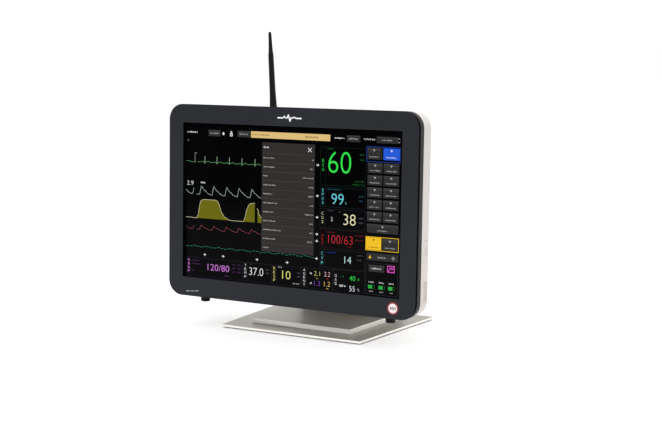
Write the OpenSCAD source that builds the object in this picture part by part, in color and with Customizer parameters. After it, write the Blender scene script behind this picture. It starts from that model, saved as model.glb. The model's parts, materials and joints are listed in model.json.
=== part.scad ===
// Bedside patient monitor on a sloping desk stand, built as separate pieces in millimetres.
// +X is the viewer's right, the screen faces -Y, +Z is up, the origin is under the base's middle.

/* [Head] */
// Width of the front bezel
bezel_w = 468; // [420:1:520]
// Height of the front bezel
bezel_h = 321; // [290:1:360]
// Corner radius of the bezel
bezel_r = 26; // [10:1:40]
// Depth of the bezel's outer lip
lip_d = 4.6; // [3:0.1:8]
// Depth of the dark seal groove behind the lip
seal_d = 1.5; // [0.8:0.1:3]
// Depth at which the dark band ends and the pale housing starts
band_d = 18.8; // [12:0.1:26]
// Depth at which the housing's flat sides end
side_d = 42; // [36:0.5:48]
// Depth of the housing's rear wall
rear_d = 50; // [46:0.5:60]
// Depth of the raised part of the housing's back
hump_d = 66; // [60:0.5:80]
// Rest lean of the head, back from upright
rest_tilt = 2; // [0:0.5:5]
// Height of the bezel's lower edge above the table
head_z = 49.4; // [44:0.1:60]

/* [Screen] */
// Width of the screen opening
open_w = 410.4; // [380:0.1:430]
// Height of the screen opening
open_h = 258; // [230:0.1:270]
// Height of the opening's centre above the bezel's lower edge
open_z = 161.5; // [150:0.1:170]
// Corner radius of the screen opening
open_r = 1.5; // [0.5:0.1:6]
// Depth of the touch glass behind the bezel's face
glass_y = 6; // [3:0.1:9]
// Thickness of the touch glass
glass_t = 2.8; // [2:0.1:4]

/* [Housing] */
// Wall thickness of the mouldings
wall = 2.6; // [2:0.1:4]
// Width of the raised part of the back
hump_w = 330; // [260:5:380]
// Height of the raised part's lower edge
hump_z0 = 36; // [30:1:60]
// Height of the raised part's upper edge
hump_z1 = 252; // [220:1:262]
// Number of slots in each vent field
vent_n = 23; // [9:2:27]

/* [Stand] */
// Front width of the base plate
base_wf = 263.7; // [230:0.1:300]
// Rear width of the base plate
base_wb = 292.6; // [240:0.1:320]
// Depth of the base plate
base_d = 229.7; // [200:0.1:260]
// Thickness of the base plate
base_t = 4.2; // [3:0.1:8]
// Thickness of the non-slip sheet
pad_t = 1.5; // [1:0.1:3]
// Front width of the arm's foot
foot_wf = 188.5; // [160:0.1:210]
// Rear width of the arm's foot
foot_wb = 203.6; // [170:0.1:220]
// Thickness of the arm's bent plate
arm_t = 8.2; // [6:0.1:12]
// Setback of the arm's foot from the base's front edge
foot_back = 35; // [20:0.5:50]
// Inside radius of the arm's bend
bend_r = 20; // [14:1:30]
// Forward lean of the upright
arm_lean = 32; // [20:1:36]
// Length of the upright beyond the bend
upright_l = 206; // [190:1:215]
// Width of the upright's top
upright_w = 120; // [104:1:160]

/* [Tilt hinge] */
// Depth of the hinge axis behind the bezel's face
hinge_y = 94; // [90:0.5:100]
// Height of the hinge axis above the bezel's lower edge
hinge_z = 150; // [140:1:160]
// Radius of the tilt shaft
shaft_r = 4; // [3:0.1:6]
// Length of the knuckle between the ears
knuckle_l = 44; // [36:1:56]

/* [Antenna] */
// Sideways position of the antenna connector
ant_x = -65.4; // [-120:0.1:-40]
// Height of the antenna connector
ant_z = 285; // [270:1:300]
// Depth of the antenna's fold pivot
ant_y = 62; // [60:0.5:66]
// Sideways lean of the whip
ant_lean = 4; // [0:0.5:15]
// Length from the pivot to the tip
ant_l = 157.3; // [100:0.1:200]
// Radius of the whip's foot
ant_r = 6.3; // [4:0.1:8]

/* [Fits] */
// Radial clearance of a running shaft
run_gap = 0.05; // [0.02:0.01:0.1]
// Radial clearance of a screw in its hole
screw_gap = 0.1; // [0.05:0.01:0.3]

/* [Show] */
// Piece to draw, or all

/* [Hidden] */
$fn = 64;
eps = 0.01;

// Base and arm levels
base_top = pad_t + base_t;
foot_top = base_top + arm_t;
foot_y = -base_d / 2 + foot_back;
bend_y = 70;
overhang = 9.35;
head_y = -base_d / 2 - overhang;
pad_inset = 4;
arm_corner = 14;

// How far a cutter passes the face that it cuts, and how far one cut crosses the next
over = 1;
trim = 0.5;

// Screws: the base's countersunk ones, the plates' pan-head ones, the case's ones
arm_screw_x = 60;
arm_screw_y0 = -50;
arm_screw_y1 = 45;
arm_screw_r = 2.5;
arm_screw_head = 4.6;
arm_screw_sink = 2.6;
arm_screw_head_t = 2.2;
arm_screw_bite = 6;
plate_screw_r = 2;
plate_head_r = 3.8;
plate_head_t = 2.4;
arm_bite = arm_t - 1.2;
case_screw_sink = 2.4;
case_head_r = 3;
case_head_t = 1.8;
case_bite = 8;

// Housing: inset behind the bezel's outline, and the radius round its rear edge
inset_front = 1.5;
inset_band = 0.4;
inset_seal = 1.6;
inset_deep = 7;
back_r = 8;
hump_edge = 6;
skin = 0.4;

// Tilt hinge in the row's frame
hy = head_y + hinge_y * cos(rest_tilt) + hinge_z * sin(rest_tilt);
hz = head_z - hinge_y * sin(rest_tilt) + hinge_z * cos(rest_tilt);
ear_t = 5;
washer_t = 1.9;
washer_r = 8.6;
ear_in = knuckle_l / 2 + 2;
ear_r = 11;
knuckle_r = 9.6;
web_half = 7.5;
shaft_head_r = shaft_r + 3;
shaft_head_t = 4.2;
shaft_tail = 6;
nut_r = 7.4;
nut_t = 4.8;
cap_r = 10.4;
cap_l = 9;
cap_wall = 1.7;
vesa_t = 3;
vesa_half = 50;
vesa_w = 118;
vesa_r = 8;

// Upright's inner face runs from this point, at right angles to (cos, sin) of the lean
face_y = bend_y + bend_r * cos(arm_lean);
face_z = foot_top + bend_r + bend_r * sin(arm_lean);
along = (face_y - hy) * sin(arm_lean) + (hz - face_z) * cos(arm_lean);
off = (face_y - hy) * cos(arm_lean) - (hz - face_z) * sin(arm_lean);
bracket_t = 3;
bracket_w = 92;
bracket_h = 44;
bracket_sx = 37;
bracket_sz = 14;

// Screen stack
gasket_t = 0.8;
gasket_w = 3;
glass_air = 0.6;
seal_depth = 9;
stack_r = 3;
stack_w = 424;
stack_h = 272;
pocket_gap = 4;
lcd_w = 428;
lcd_h = 277;
lcd_y = glass_y + glass_t + glass_air;
lcd_t = 3.2;
tray_t = 9;
tray_y = lcd_y + lcd_t;
frame_y = lip_d + seal_d;
frame_in_w = 432;
frame_in_h = 281;

// Chassis and boards
plate_y = 24;
plate_t = 1.2;
plate_w = 384;
plate_h = 254;
post_h = 6;
board_y = plate_y + plate_t + post_h;
board_t = 1.6;
board_w = 220;
board_h = 164;
board_z = 160;
board_low = board_z - board_h / 2;
board_tab = 40;
board_tab_h = 16;
chip_y = board_y + board_t;
chip_t = 1.8;
chip_half = 17;
power_x0 = 118;
power_w = 68;
power_z = 180;
power_h = 100;
io_post_x = 114;
io_z = 66;
io_w = 244;
io_h = 26;
io_board_y = 50;
io_back = hump_d - wall;

// Vent slots: width, spacing, and where each field lies
slot_w = 3.2;
slot_pitch = 8;
vent_drop = 14;
vent_h = 20;
upper_vent_z = 262;
upper_vent_h = 10;
upper_vent_n = 9;
under_vent_y = 31;
under_vent_d = 9;

// Side details: depth and height on the side walls
side_x = bezel_w / 2 - inset_front;
grille_y = 35;
grille_z = 42;
grille_w = 13.5;
grille_h = 36;
grille_hole = 0.85;
grille_pitch = 2.9;
sound_y = 34.5;
sound_z = 105;
sound_pitch = 4.6;
led_y = 34.5;
led_z = 122;
led_r = 1.2;
button_y = 32;
button_z = 76;
button_r = 6;
button_gap = 0.15;
ant_hole = 3.1;

// Case screws and feet
boss_x = 219;
boss_z0 = 16;
boss_z1 = bezel_h - 16;
boss_r = 4;
screw_r = 1.5;
foot_x = 177;
bump_r = 7.8;
bump_y = 27;
bump_low = -10;
bump_top = 2.6;
label_x = 194.8;
label_z = 17;
label_r = 9.6;
label_t = 0.3;

// ---- helpers ----

module head_frame() {
    translate([0, head_y, head_z])
        rotate([-rest_tilt, 0, 0])
            children();
}

// Rounded rectangle of the bezel's outline drawn in XZ, pushed back along +Y
module slab(w, h, r, zc, y0, y1) {
    translate([0, y1, zc])
        rotate([90, 0, 0])
            linear_extrude(height = y1 - y0)
                rounded(w, h, r);
}

module rounded(w, h, r) {
    union() {
        square([w - 2 * r, h], center = true);
        square([w, h - 2 * r], center = true);
        for (sx = [-1, 1])
            for (sy = [-1, 1])
                translate([sx * (w / 2 - r), sy * (h / 2 - r)])
                    circle(r = r);
    }
}

module outline(inset, y0, y1) {
    slab(bezel_w - 2 * inset, bezel_h - 2 * inset, bezel_r - inset / 2, bezel_h / 2, y0, y1);
}

module block(x0, x1, y0, y1, z0, z1) {
    translate([x0, y0, z0])
        cube([x1 - x0, y1 - y0, z1 - z0]);
}

// Cylinder along +Y
module rod_y(r, y0, y1, x = 0, z = 0) {
    translate([x, y0, z])
        rotate([-90, 0, 0])
            cylinder(r = r, h = y1 - y0);
}

// Cylinder along +X
module rod_x(r, x0, x1, y = 0, z = 0) {
    translate([x0, y, z])
        rotate([0, 90, 0])
            cylinder(r = r, h = x1 - x0);
}

module trapezoid(wf, wb, d, h) {
    linear_extrude(height = h)
        polygon([[-wf / 2, -d / 2], [wf / 2, -d / 2], [wb / 2, d / 2], [-wb / 2, d / 2]]);
}

module pan_screw(r, head_r, head_h, length) {
    difference() {
        union() {
            cylinder(r = head_r, h = head_h);
            translate([0, 0, -length])
                cylinder(r = r, h = length + eps);
        }
        translate([0, 0, head_h - 1.2])
            cylinder(r = head_r * 0.5, h = 2, $fn = 6);
    }
}

// Upright's frame: x across, y out of its inner face, z up along it, origin level with the hinge
module arm_face() {
    translate([0, face_y - along * sin(arm_lean), face_z + along * cos(arm_lean)])
        rotate([arm_lean, 0, 0])
            children();
}

// ---- stand ----

module base_pad() {
    color([0.09, 0.09, 0.10])
        trapezoid(base_wf - 2 * pad_inset, base_wb - 2 * pad_inset, base_d - 2 * pad_inset, pad_t);
}

module arm_screw_spots() {
    for (sx = [-1, 1])
        for (y = [arm_screw_y0, arm_screw_y1])
            translate([sx * arm_screw_x, y, pad_t])
                children();
}

module base_plate() {
    color([0.75, 0.74, 0.70])
        difference() {
            translate([0, 0, pad_t])
                trapezoid(base_wf, base_wb, base_d, base_t);
            arm_screw_spots() {
                translate([0, 0, -eps])
                    cylinder(r = arm_screw_head + screw_gap, h = arm_screw_sink);
                cylinder(r = arm_screw_r + screw_gap, h = base_t + over);
            }
        }
}

module arm_screws() {
    head_gap = 0.3;
    color([0.6, 0.6, 0.6])
        arm_screw_spots()
            union() {
                translate([0, 0, head_gap])
                    cylinder(r = arm_screw_head, h = arm_screw_head_t);
                cylinder(r = arm_screw_r, h = base_t + arm_screw_bite);
            }
}

// Side view of the arm in YZ: foot, bend and upright as one bent strip
module arm_profile() {
    cl = cos(arm_lean);
    sl = sin(arm_lean);
    outer_r = bend_r + arm_t;
    far = 3 * outer_r;
    cz = foot_top + bend_r;
    union() {
        polygon([[foot_y, base_top], [bend_y, base_top], [bend_y, foot_top], [foot_y, foot_top]]);
        translate([bend_y, cz])
            intersection() {
                difference() {
                    circle(r = outer_r);
                    circle(r = bend_r);
                }
                polygon([[0, 0], [0, -far], [far, -far], [far, far * tan(arm_lean)]]);
            }
        polygon([[bend_y + bend_r * cl, cz + bend_r * sl],
            [bend_y + outer_r * cl, cz + outer_r * sl],
            [bend_y + outer_r * cl - upright_l * sl, cz + outer_r * sl + upright_l * cl],
            [bend_y + bend_r * cl - upright_l * sl, cz + bend_r * sl + upright_l * cl]]);
    }
}

module stand_arm() {
    foot_d = bend_y - foot_y;
    half = foot_wb / 2;
    color([0.72, 0.71, 0.68])
        difference() {
            translate([-half, 0, 0])
                rotate([90, 0, 90])
                    linear_extrude(height = foot_wb)
                        arm_profile();
            for (s = [-1, 1])
                mirror([s < 0 ? 1 : 0, 0, 0]) {
                    translate([0, foot_y, base_top - over])
                        linear_extrude(height = arm_t + 2 * over)
                            polygon([[foot_wf / 2, 0], [half + trim, foot_d], [half + over, foot_d],
                                [half + over, -over], [foot_wf / 2 - trim, -over]]);
                    translate([0, face_y, face_z])
                        rotate([arm_lean, 0, 0])
                            upright_cut(half);
                }
            arm_screw_spots()
                cylinder(r = arm_screw_r + screw_gap, h = base_t + arm_screw_bite + over);
            arm_face()
                bracket_spots()
                    rod_y(plate_screw_r + screw_gap, -over, arm_bite + screw_gap);
        }
}

// What is trimmed from one side of the upright: a taper, then a rounded corner
module upright_cut(half) {
    top = upright_l - arm_corner;
    edge = upright_w / 2;
    translate([0, arm_t + over, 0])
        rotate([90, 0, 0])
            linear_extrude(height = arm_t + 2 * over)
                difference() {
                    polygon([[half + trim, 0], [half + over, 0], [half + over, upright_l + over],
                        [edge - arm_corner, upright_l + over], [edge - arm_corner, top], [edge, top]]);
                    translate([edge - arm_corner + trim, top + trim])
                        circle(r = arm_corner);
                }
}

module bracket_spots() {
    for (sx = [-1, 1])
        for (sz = [-1, 1])
            translate([sx * bracket_sx, 0, sz * bracket_sz])
                children();
}

module ear(side) {
    x0 = side > 0 ? ear_in : -ear_in - ear_t;
    union() {
        block(x0, x0 + ear_t, -off, -bracket_t / 2, -ear_r, ear_r);
        rod_x(ear_r, x0, x0 + ear_t, -off, 0);
    }
}

module hinge_bracket() {
    color([0.30, 0.30, 0.32])
        arm_face()
            difference() {
                union() {
                    block(-bracket_w / 2, bracket_w / 2, -bracket_t, 0, -bracket_h / 2, bracket_h / 2);
                    ear(1);
                    ear(-1);
                }
                rod_x(shaft_r + run_gap, -bracket_w, bracket_w, -off, 0);
                bracket_spots()
                    rod_y(plate_screw_r + screw_gap, -bracket_t - over, over);
            }
}

module bracket_screws() {
    color([0.55, 0.55, 0.56])
        arm_face()
            bracket_spots()
                translate([0, -bracket_t, 0])
                    rotate([90, 0, 0])
                        pan_screw(plate_screw_r, plate_head_r, plate_head_t, bracket_t + arm_bite);
}

module at_hinge() {
    translate([0, hy, hz])
        children();
}

shaft_end = ear_in + ear_t;

module tilt_shaft() {
    color([0.62, 0.62, 0.64])
        at_hinge()
            union() {
                rod_x(shaft_r, -shaft_end - shaft_tail, shaft_end + trim);
                rod_x(shaft_head_r, shaft_end + eps, shaft_end + shaft_head_t);
            }
}

module shaft_nut() {
    color([0.62, 0.62, 0.64])
        at_hinge()
            translate([-shaft_end - 0.2 - nut_t, 0, 0])
                rotate([0, 90, 0])
                    difference() {
                        cylinder(r = nut_r, h = nut_t, $fn = 6);
                        translate([0, 0, -over])
                            cylinder(r = shaft_r + run_gap, h = nut_t + 2 * over);
                    }
}

module hinge_caps() {
    color([0.20, 0.20, 0.22])
        at_hinge()
            for (s = [-1, 1])
                mirror([s < 0 ? 1 : 0, 0, 0])
                    difference() {
                        rod_x(cap_r, shaft_end + 0.1, shaft_end + cap_l);
                        rod_x(cap_r - cap_wall, shaft_end, shaft_end + cap_l - cap_wall);
                    }
}

// ---- tilt parts on the head ----

module friction_washers() {
    color([0.42, 0.40, 0.36])
        at_hinge()
            for (s = [-1, 1])
                mirror([s < 0 ? 1 : 0, 0, 0])
                    difference() {
                        rod_x(washer_r, knuckle_l / 2 + 0.02, knuckle_l / 2 + washer_t);
                        rod_x(shaft_r + run_gap, 0, ear_in + 1);
                    }
}

flange_t = 4;
flange_half = 26;
flange_sx = 19;

module flange_spots(y) {
    for (sx = [-1, 1])
        for (sz = [-1, 1])
            translate([sx * flange_sx, y, hinge_z + sz * flange_sx])
                children();
}

module tilt_knuckle() {
    y0 = hump_d + vesa_t;
    color([0.34, 0.34, 0.36])
        head_frame()
            difference() {
                union() {
                    block(-flange_half, flange_half, y0, y0 + flange_t,
                        hinge_z - flange_half, hinge_z + flange_half);
                    block(-knuckle_l / 2, knuckle_l / 2, y0 + flange_t - eps, hinge_y,
                        hinge_z - web_half, hinge_z + web_half);
                    rod_x(knuckle_r, -knuckle_l / 2, knuckle_l / 2, hinge_y, hinge_z);
                }
                rod_x(shaft_r + run_gap, -knuckle_l, knuckle_l, hinge_y, hinge_z);
                flange_spots(y0 - over)
                    rod_y(plate_screw_r + screw_gap, 0, flange_t + 2 * over);
            }
}

module knuckle_screws() {
    color([0.55, 0.55, 0.56])
        head_frame()
            flange_spots(hump_d + vesa_t + flange_t)
                rotate([-90, 0, 0])
                    pan_screw(plate_screw_r, plate_head_r, plate_head_t, flange_t + vesa_t);
}

module vesa_spots(y) {
    for (sx = [-1, 1])
        for (sz = [-1, 1])
            translate([sx * vesa_half, y, hinge_z + sz * vesa_half])
                children();
}

module vesa_plate() {
    color([0.30, 0.30, 0.32])
        head_frame()
            difference() {
                slab(vesa_w, vesa_w, vesa_r, hinge_z, hump_d, hump_d + vesa_t);
                vesa_spots(hump_d - over)
                    rod_y(plate_screw_r + screw_gap, 0, vesa_t + 2 * over);
                flange_spots(hump_d - over)
                    rod_y(plate_screw_r + screw_gap, 0, vesa_t + 2 * over);
            }
}

module vesa_screws() {
    color([0.55, 0.55, 0.56])
        head_frame()
            vesa_spots(hump_d + vesa_t)
                rotate([-90, 0, 0])
                    pan_screw(plate_screw_r, plate_head_r, plate_head_t, vesa_t + wall + 4);
}

// ---- housing ----

// Flat-sided plate whose rear edges are rounded: three plain prisms crossed
module rounded_back(w, h, r, zc, y0, y1, edge_r) {
    d = y1 - y0;
    intersection() {
        slab(w, h, r, zc, y0, y1);
        translate([0, 0, zc - h / 2 - 1])
            linear_extrude(height = h + 2)
                back_profile(w, y0, y1, edge_r);
        translate([-w / 2 - 1, 0, zc])
            rotate([90, 0, 90])
                linear_extrude(height = w + 2)
                    rotate([0, 0, -90])
                        mirror([1, 0])
                            back_profile(h, y0, y1, edge_r);
    }
}

module back_profile(w, y0, y1, edge_r) {
    union() {
        translate([-w / 2, y0])
            square([w, y1 - edge_r - y0]);
        translate([-w / 2 + edge_r, y0])
            square([w - 2 * edge_r, y1 - y0]);
        for (s = [-1, 1])
            translate([s * (w / 2 - edge_r), y1 - edge_r])
                circle(r = edge_r);
    }
}

module housing_outer() {
    rounded_back(bezel_w - 2 * inset_front, bezel_h - 2 * inset_front, bezel_r - 1,
        bezel_h / 2, band_d, rear_d, back_r);
}

module housing_inner() {
    union() {
        outline(inset_front + wall, band_d - 1, side_d);
        outline(inset_deep, band_d - 1, rear_d - wall);
    }
}

module hump_outer() {
    rounded_back(hump_w, hump_z1 - hump_z0, 20, (hump_z0 + hump_z1) / 2,
        rear_d - wall, hump_d, hump_edge);
}

module hump_inner() {
    hc = (hump_z0 + hump_z1) / 2;
    hh = hump_z1 - hump_z0 - 2 * wall;
    ww = hump_w - 2 * wall;
    union() {
        slab(ww, hh, 18, hc, rear_d - wall - 1, hump_d - hump_edge);
        slab(ww - 2 * hump_edge + 3, hh - 2 * hump_edge + 3, 14, hc, rear_d - wall - 1, hump_d - wall);
    }
}

module vent_row(z0, z1, y0, y1, n) {
    for (i = [0 : n - 1])
        let (x = (i - (n - 1) / 2) * slot_pitch)
            block(x - slot_w / 2, x + slot_w / 2, y0, y1, z0, z1);
}

module boss_spots() {
    for (sx = [-1, 1])
        for (z = [boss_z0, boss_z1])
            translate([sx * boss_x, 0, z])
                children();
}

module sound_holes() {
    for (p = [[0, 0], [0, 1], [0, -1], [1, 0.5], [1, -0.5], [-1, 0.5], [-1, -0.5],
        [1, 1.5], [-1, -1.5]])
        rod_x(1, side_x - wall - 3, side_x + 3, sound_y + p[0] * sound_pitch * 0.72,
            sound_z + p[1] * sound_pitch);
}

module grille_window(grow, x0, x1) {
    block(x0, x1, grille_y - grille_w / 2 - grow, grille_y + grille_w / 2 + grow,
        grille_z - grille_h / 2 - grow, grille_z + grille_h / 2 + grow);
}

module io_window(grow, y0, y1) {
    block(-io_w / 2 - grow, io_w / 2 + grow, y0, y1, io_z - io_h / 2 - grow, io_z + io_h / 2 + grow);
}

module rear_housing() {
    wx = side_x - wall - over;
    color([0.86, 0.84, 0.81])
        head_frame()
            difference() {
                union() {
                    difference() {
                        union() {
                            housing_outer();
                            hump_outer();
                        }
                        housing_inner();
                        hump_inner();
                    }
                    boss_spots()
                        rod_y(boss_r, band_d, rear_d - wall + eps);
                }
                boss_spots() {
                    rod_y(screw_r + screw_gap, band_d - over, rear_d + over);
                    rod_y(case_head_r + 0.2, rear_d - case_screw_sink, rear_d + over);
                }
                vesa_spots(hump_d - wall - over)
                    rod_y(plate_screw_r + screw_gap, 0, wall + 2 * over);
                vent_row(hump_z1 - vent_drop - vent_h, hump_z1 - vent_drop,
                    hump_d - wall - over, hump_d + over, vent_n);
                vent_row(upper_vent_z, upper_vent_z + upper_vent_h,
                    rear_d - wall - over, rear_d + over, upper_vent_n);
                vent_row(-over, inset_front + wall + over, under_vent_y, under_vent_y + under_vent_d, vent_n);
                io_window(0, hump_d - wall - over, hump_d + over);
                grille_window(0, wx, side_x + over);
                grille_window(0, -side_x - over, -wx);
                sound_holes();
                rod_x(led_r + screw_gap, wx, side_x + over, led_y, led_z);
                rod_x(button_r + button_gap, -side_x - over, -wx, button_y, button_z);
                rod_y(ant_hole, rear_d - wall - over, rear_d + over, ant_x, ant_z);
                for (sx = [-1, 1])
                    translate([sx * foot_x, bump_y, -over])
                        cylinder(r = bump_r + run_gap, h = over + bump_top);
            }
}

module mid_frame() {
    color([0.26, 0.27, 0.28])
        head_frame()
            difference() {
                outline(inset_band, frame_y, band_d);
                slab(frame_in_w, frame_in_h, stack_r, open_z, frame_y - over, band_d + over);
                boss_spots()
                    rod_y(screw_r + screw_gap, band_d - case_bite - over, band_d + over);
            }
}

module front_seal() {
    color([0.03, 0.03, 0.03])
        head_frame()
            difference() {
                outline(inset_seal, lip_d, frame_y);
                outline(seal_depth, lip_d - over, frame_y + over);
            }
}

module front_bezel() {
    rim = 2;
    color([0.19, 0.19, 0.21])
        head_frame()
            difference() {
                union() {
                    hull() {
                        outline(rim, 0, skin, $fn = 32);
                        outline(0.3 * rim, 0.3 * rim, rim / 2, $fn = 32);
                        outline(0, rim, lip_d, $fn = 32);
                    }
                    slab(stack_w + 2 * pocket_gap, stack_h + 2 * pocket_gap, stack_r, open_z,
                        lip_d - over, glass_y - gasket_t);
                }
                slab(open_w, open_h, open_r, open_z, -over, glass_y + over);
                rod_y(label_r + screw_gap, -over, label_t, label_x, label_z);
            }
}

module glass_gasket() {
    color([0.04, 0.04, 0.04])
        head_frame()
            difference() {
                slab(stack_w, stack_h, stack_r, open_z, glass_y - gasket_t, glass_y);
                slab(open_w + 2 * gasket_w, open_h + 2 * gasket_w, stack_r - over, open_z,
                    glass_y - 2 * gasket_t, glass_y + over);
            }
}

module touch_glass() {
    color([0.05, 0.06, 0.07, 0.5])
        head_frame()
            slab(stack_w, stack_h, stack_r, open_z, glass_y, glass_y + glass_t);
}

module lcd_panel() {
    color([0.02, 0.02, 0.03])
        head_frame()
            slab(lcd_w, lcd_h, 1, open_z, lcd_y, lcd_y + lcd_t);
}

module backlight_unit() {
    rim = 15;
    sheet = 1.6;
    color([0.72, 0.73, 0.74])
        head_frame()
            difference() {
                slab(lcd_w, lcd_h, 1, open_z, tray_y, tray_y + tray_t);
                slab(lcd_w - 2 * rim, lcd_h - 2 * rim, 4, open_z,
                    tray_y + tray_t - sheet, tray_y + tray_t + over);
            }
}

module panel_brackets() {
    bracket_in = 10;
    bracket_out = 9;
    half = 14;
    sheet = 1.5;
    color([0.55, 0.56, 0.57])
        head_frame()
            for (sx = [-1, 1])
                for (sz = [-1, 1])
                    translate([sx * (lcd_w / 2 - 1), 0, open_z + sz * 90])
                        block(-bracket_in, bracket_out, tray_y + tray_t, tray_y + tray_t + sheet,
                            -half, half);
}

// ---- chassis and electronics ----

module chassis_plate() {
    cable_x = 150;
    cable_w = 40;
    cable_z0 = 70;
    cable_z1 = 84;
    color([0.66, 0.67, 0.68])
        head_frame()
            difference() {
                block(-plate_w / 2, plate_w / 2, plate_y, plate_y + plate_t,
                    board_z - plate_h / 2, board_z + plate_h / 2);
                for (sx = [-1, 1])
                    block(sx * cable_x - cable_w / 2, sx * cable_x + cable_w / 2,
                        plate_y - over, plate_y + plate_t + over, cable_z0, cable_z1);
            }
}

module post_spots() {
    edge = 6;
    for (sx = [-1, 0, 1])
        for (sz = [-1, 1])
            translate([sx * (board_w / 2 - edge), 0, board_z + sz * (board_h / 2 - edge)])
                children();
}

module io_post_spots() {
    for (sx = [-1, 1])
        translate([sx * io_post_x, 0, io_z + 15])
            children();
}

module standoffs() {
    post_r = 3;
    foot = plate_y + plate_t;
    color([0.80, 0.66, 0.35])
        head_frame()
            union() {
                post_spots()
                    rod_y(post_r, foot, board_y);
                io_post_spots()
                    rod_y(post_r, foot, io_board_y);
                for (sz = [-1, 1])
                    rod_y(post_r, foot, board_y, power_x0 + power_w / 2, power_z + sz * (power_h / 2 - 8));
            }
}

module main_board() {
    fan_plug = [26, 5, 10];
    radio_plug = [30, 4, 12];
    color([0.05, 0.28, 0.16])
        head_frame()
            union() {
                block(-board_w / 2, board_w / 2, board_y, chip_y,
                    board_low + board_tab_h, board_low + board_h);
                for (x = [-board_w / 2, -board_tab / 2, board_w / 2 - board_tab])
                    block(x, x + board_tab, board_y, chip_y, board_low, board_low + board_tab_h + over);
                translate([20, chip_y - eps, 200])
                    cube(fan_plug);
                translate([-90, chip_y - eps, 120])
                    cube(radio_plug);
            }
}

module processor() {
    color([0.16, 0.17, 0.18])
        head_frame()
            block(-chip_half, chip_half, chip_y, chip_y + chip_t, board_z - chip_half, board_z + chip_half);
}

module heat_sink() {
    sink_y = chip_y + chip_t;
    half = 34;
    base = 3;
    fin_n = 11;
    fin_t = 2;
    fin_h = 16;
    pitch = 6.4;
    color([0.70, 0.71, 0.73])
        head_frame()
            union() {
                block(-half, half, sink_y, sink_y + base, board_z - half, board_z + half);
                for (i = [0 : fin_n - 1])
                    translate([1 - half + i * pitch, sink_y + base - eps, board_z - half])
                        cube([fin_t, fin_h, 2 * half]);
            }
}

module memory_module() {
    x0 = 50;
    z0 = 206;
    socket = [50, 4, 5];
    card = [46, 1.2, 26];
    chip = [8, 1, 14];
    pitch = 11;
    color([0.06, 0.30, 0.20])
        head_frame()
            union() {
                translate([x0, chip_y, z0])
                    cube(socket);
                translate([x0 + 2, chip_y + 2, z0 - card.z + eps])
                    cube(card);
                for (i = [0 : 3])
                    translate([x0 + 5 + i * pitch, chip_y + 2 + card.y - eps, z0 - card.z + 4])
                        cube(chip);
            }
}

module radio_card() {
    x0 = -88;
    z0 = 196;
    socket = [26, 4, 5];
    card = [24, 1, 25];
    shield = [16, 1.6, 16];
    color([0.08, 0.25, 0.35])
        head_frame()
            union() {
                translate([x0, chip_y, z0])
                    cube(socket);
                translate([x0 + 1, chip_y + 2, z0 + socket.z - eps])
                    cube(card);
                translate([x0 + 5, chip_y + 2 + card.y - eps, z0 + 10])
                    cube(shield);
            }
}

module storage_drive() {
    x0 = -186;
    z0 = 120;
    drive = [70, 7, 100];
    lid_edge = 6;
    lid_t = 0.6;
    color([0.45, 0.46, 0.48])
        head_frame()
            translate([x0, plate_y + plate_t, z0])
                union() {
                    cube(drive);
                    translate([lid_edge, drive.y - eps, lid_edge])
                        cube([drive.x - 2 * lid_edge, lid_t, drive.z - 2 * lid_edge]);
                }
}

module power_board() {
    coil = [24, 12, 20];
    choke = [20, 8, 30];
    can_r = 5;
    can_h = 11;
    can_pitch = 16;
    low = power_z - power_h / 2;
    color([0.10, 0.30, 0.14])
        head_frame()
            union() {
                block(power_x0, power_x0 + power_w, board_y, chip_y, low, low + power_h);
                translate([power_x0 + 8, chip_y - eps, low + 10])
                    cube(coil);
                translate([power_x0 + 42, chip_y - eps, low + 30])
                    cube(choke);
                for (i = [0 : 2])
                    rod_y(can_r, chip_y - eps, chip_y + can_h,
                        power_x0 + 12 + i * can_pitch, low + power_h - can_pitch);
            }
}

module io_board() {
    below = 11;
    above = 20;
    color([0.05, 0.28, 0.16])
        head_frame()
            block(-io_post_x - 4, io_post_x + 4, io_board_y, io_board_y + board_t,
                io_z - below, io_z + above);
}

port_y = io_board_y + board_t;
port_end = io_back + 1.4;
port_wall = 0.9;
port_gap = 0.25;

// Socket rows: first left edge, spacing, count, width and height
usb_x = -98;
usb_pitch = 17;
usb_n = 4;
usb_w = 13.4;
usb_h = 6.4;
lan_x = -26;
lan_pitch = 19;
lan_n = 2;
lan_w = 16;
lan_h = 13.4;
video_x = 16;
video_w = 15;
video_h = 5.6;
serial_x = 38;
serial_pitch = 24;
serial_n = 2;
serial_w = 18;
serial_h = 10;
inlet_x = 98;
inlet_r = 5.4;

module port_box(x, w, h, y0, y1, grow = 0) {
    block(x - grow, x + w + grow, y0, y1, io_z - h / 2 - grow, io_z + h / 2 + grow);
}

// Metal shell of a socket, open at the back
module port_shell(x, w, h) {
    difference() {
        port_box(x, w, h, port_y, port_end);
        port_box(x, w, h, port_y + 3, port_end + over, -port_wall);
    }
}

module port_cuts() {
    y0 = io_back - over;
    for (i = [0 : usb_n - 1])
        port_box(usb_x + i * usb_pitch, usb_w, usb_h, y0, hump_d, port_gap);
    for (i = [0 : lan_n - 1])
        port_box(lan_x + i * lan_pitch, lan_w, lan_h, y0, hump_d, port_gap);
    port_box(video_x, video_w, video_h, y0, hump_d, port_gap);
    for (i = [0 : serial_n - 1])
        port_box(serial_x + i * serial_pitch, serial_w, serial_h, y0, hump_d, port_gap);
    rod_y(inlet_r + port_gap, y0, hump_d, inlet_x, io_z);
}

module io_panel() {
    edge = 0.2;
    sheet = 1.2;
    color([0.70, 0.70, 0.70])
        head_frame()
            difference() {
                io_window(-edge, io_back, io_back + sheet);
                port_cuts();
            }
}

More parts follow.
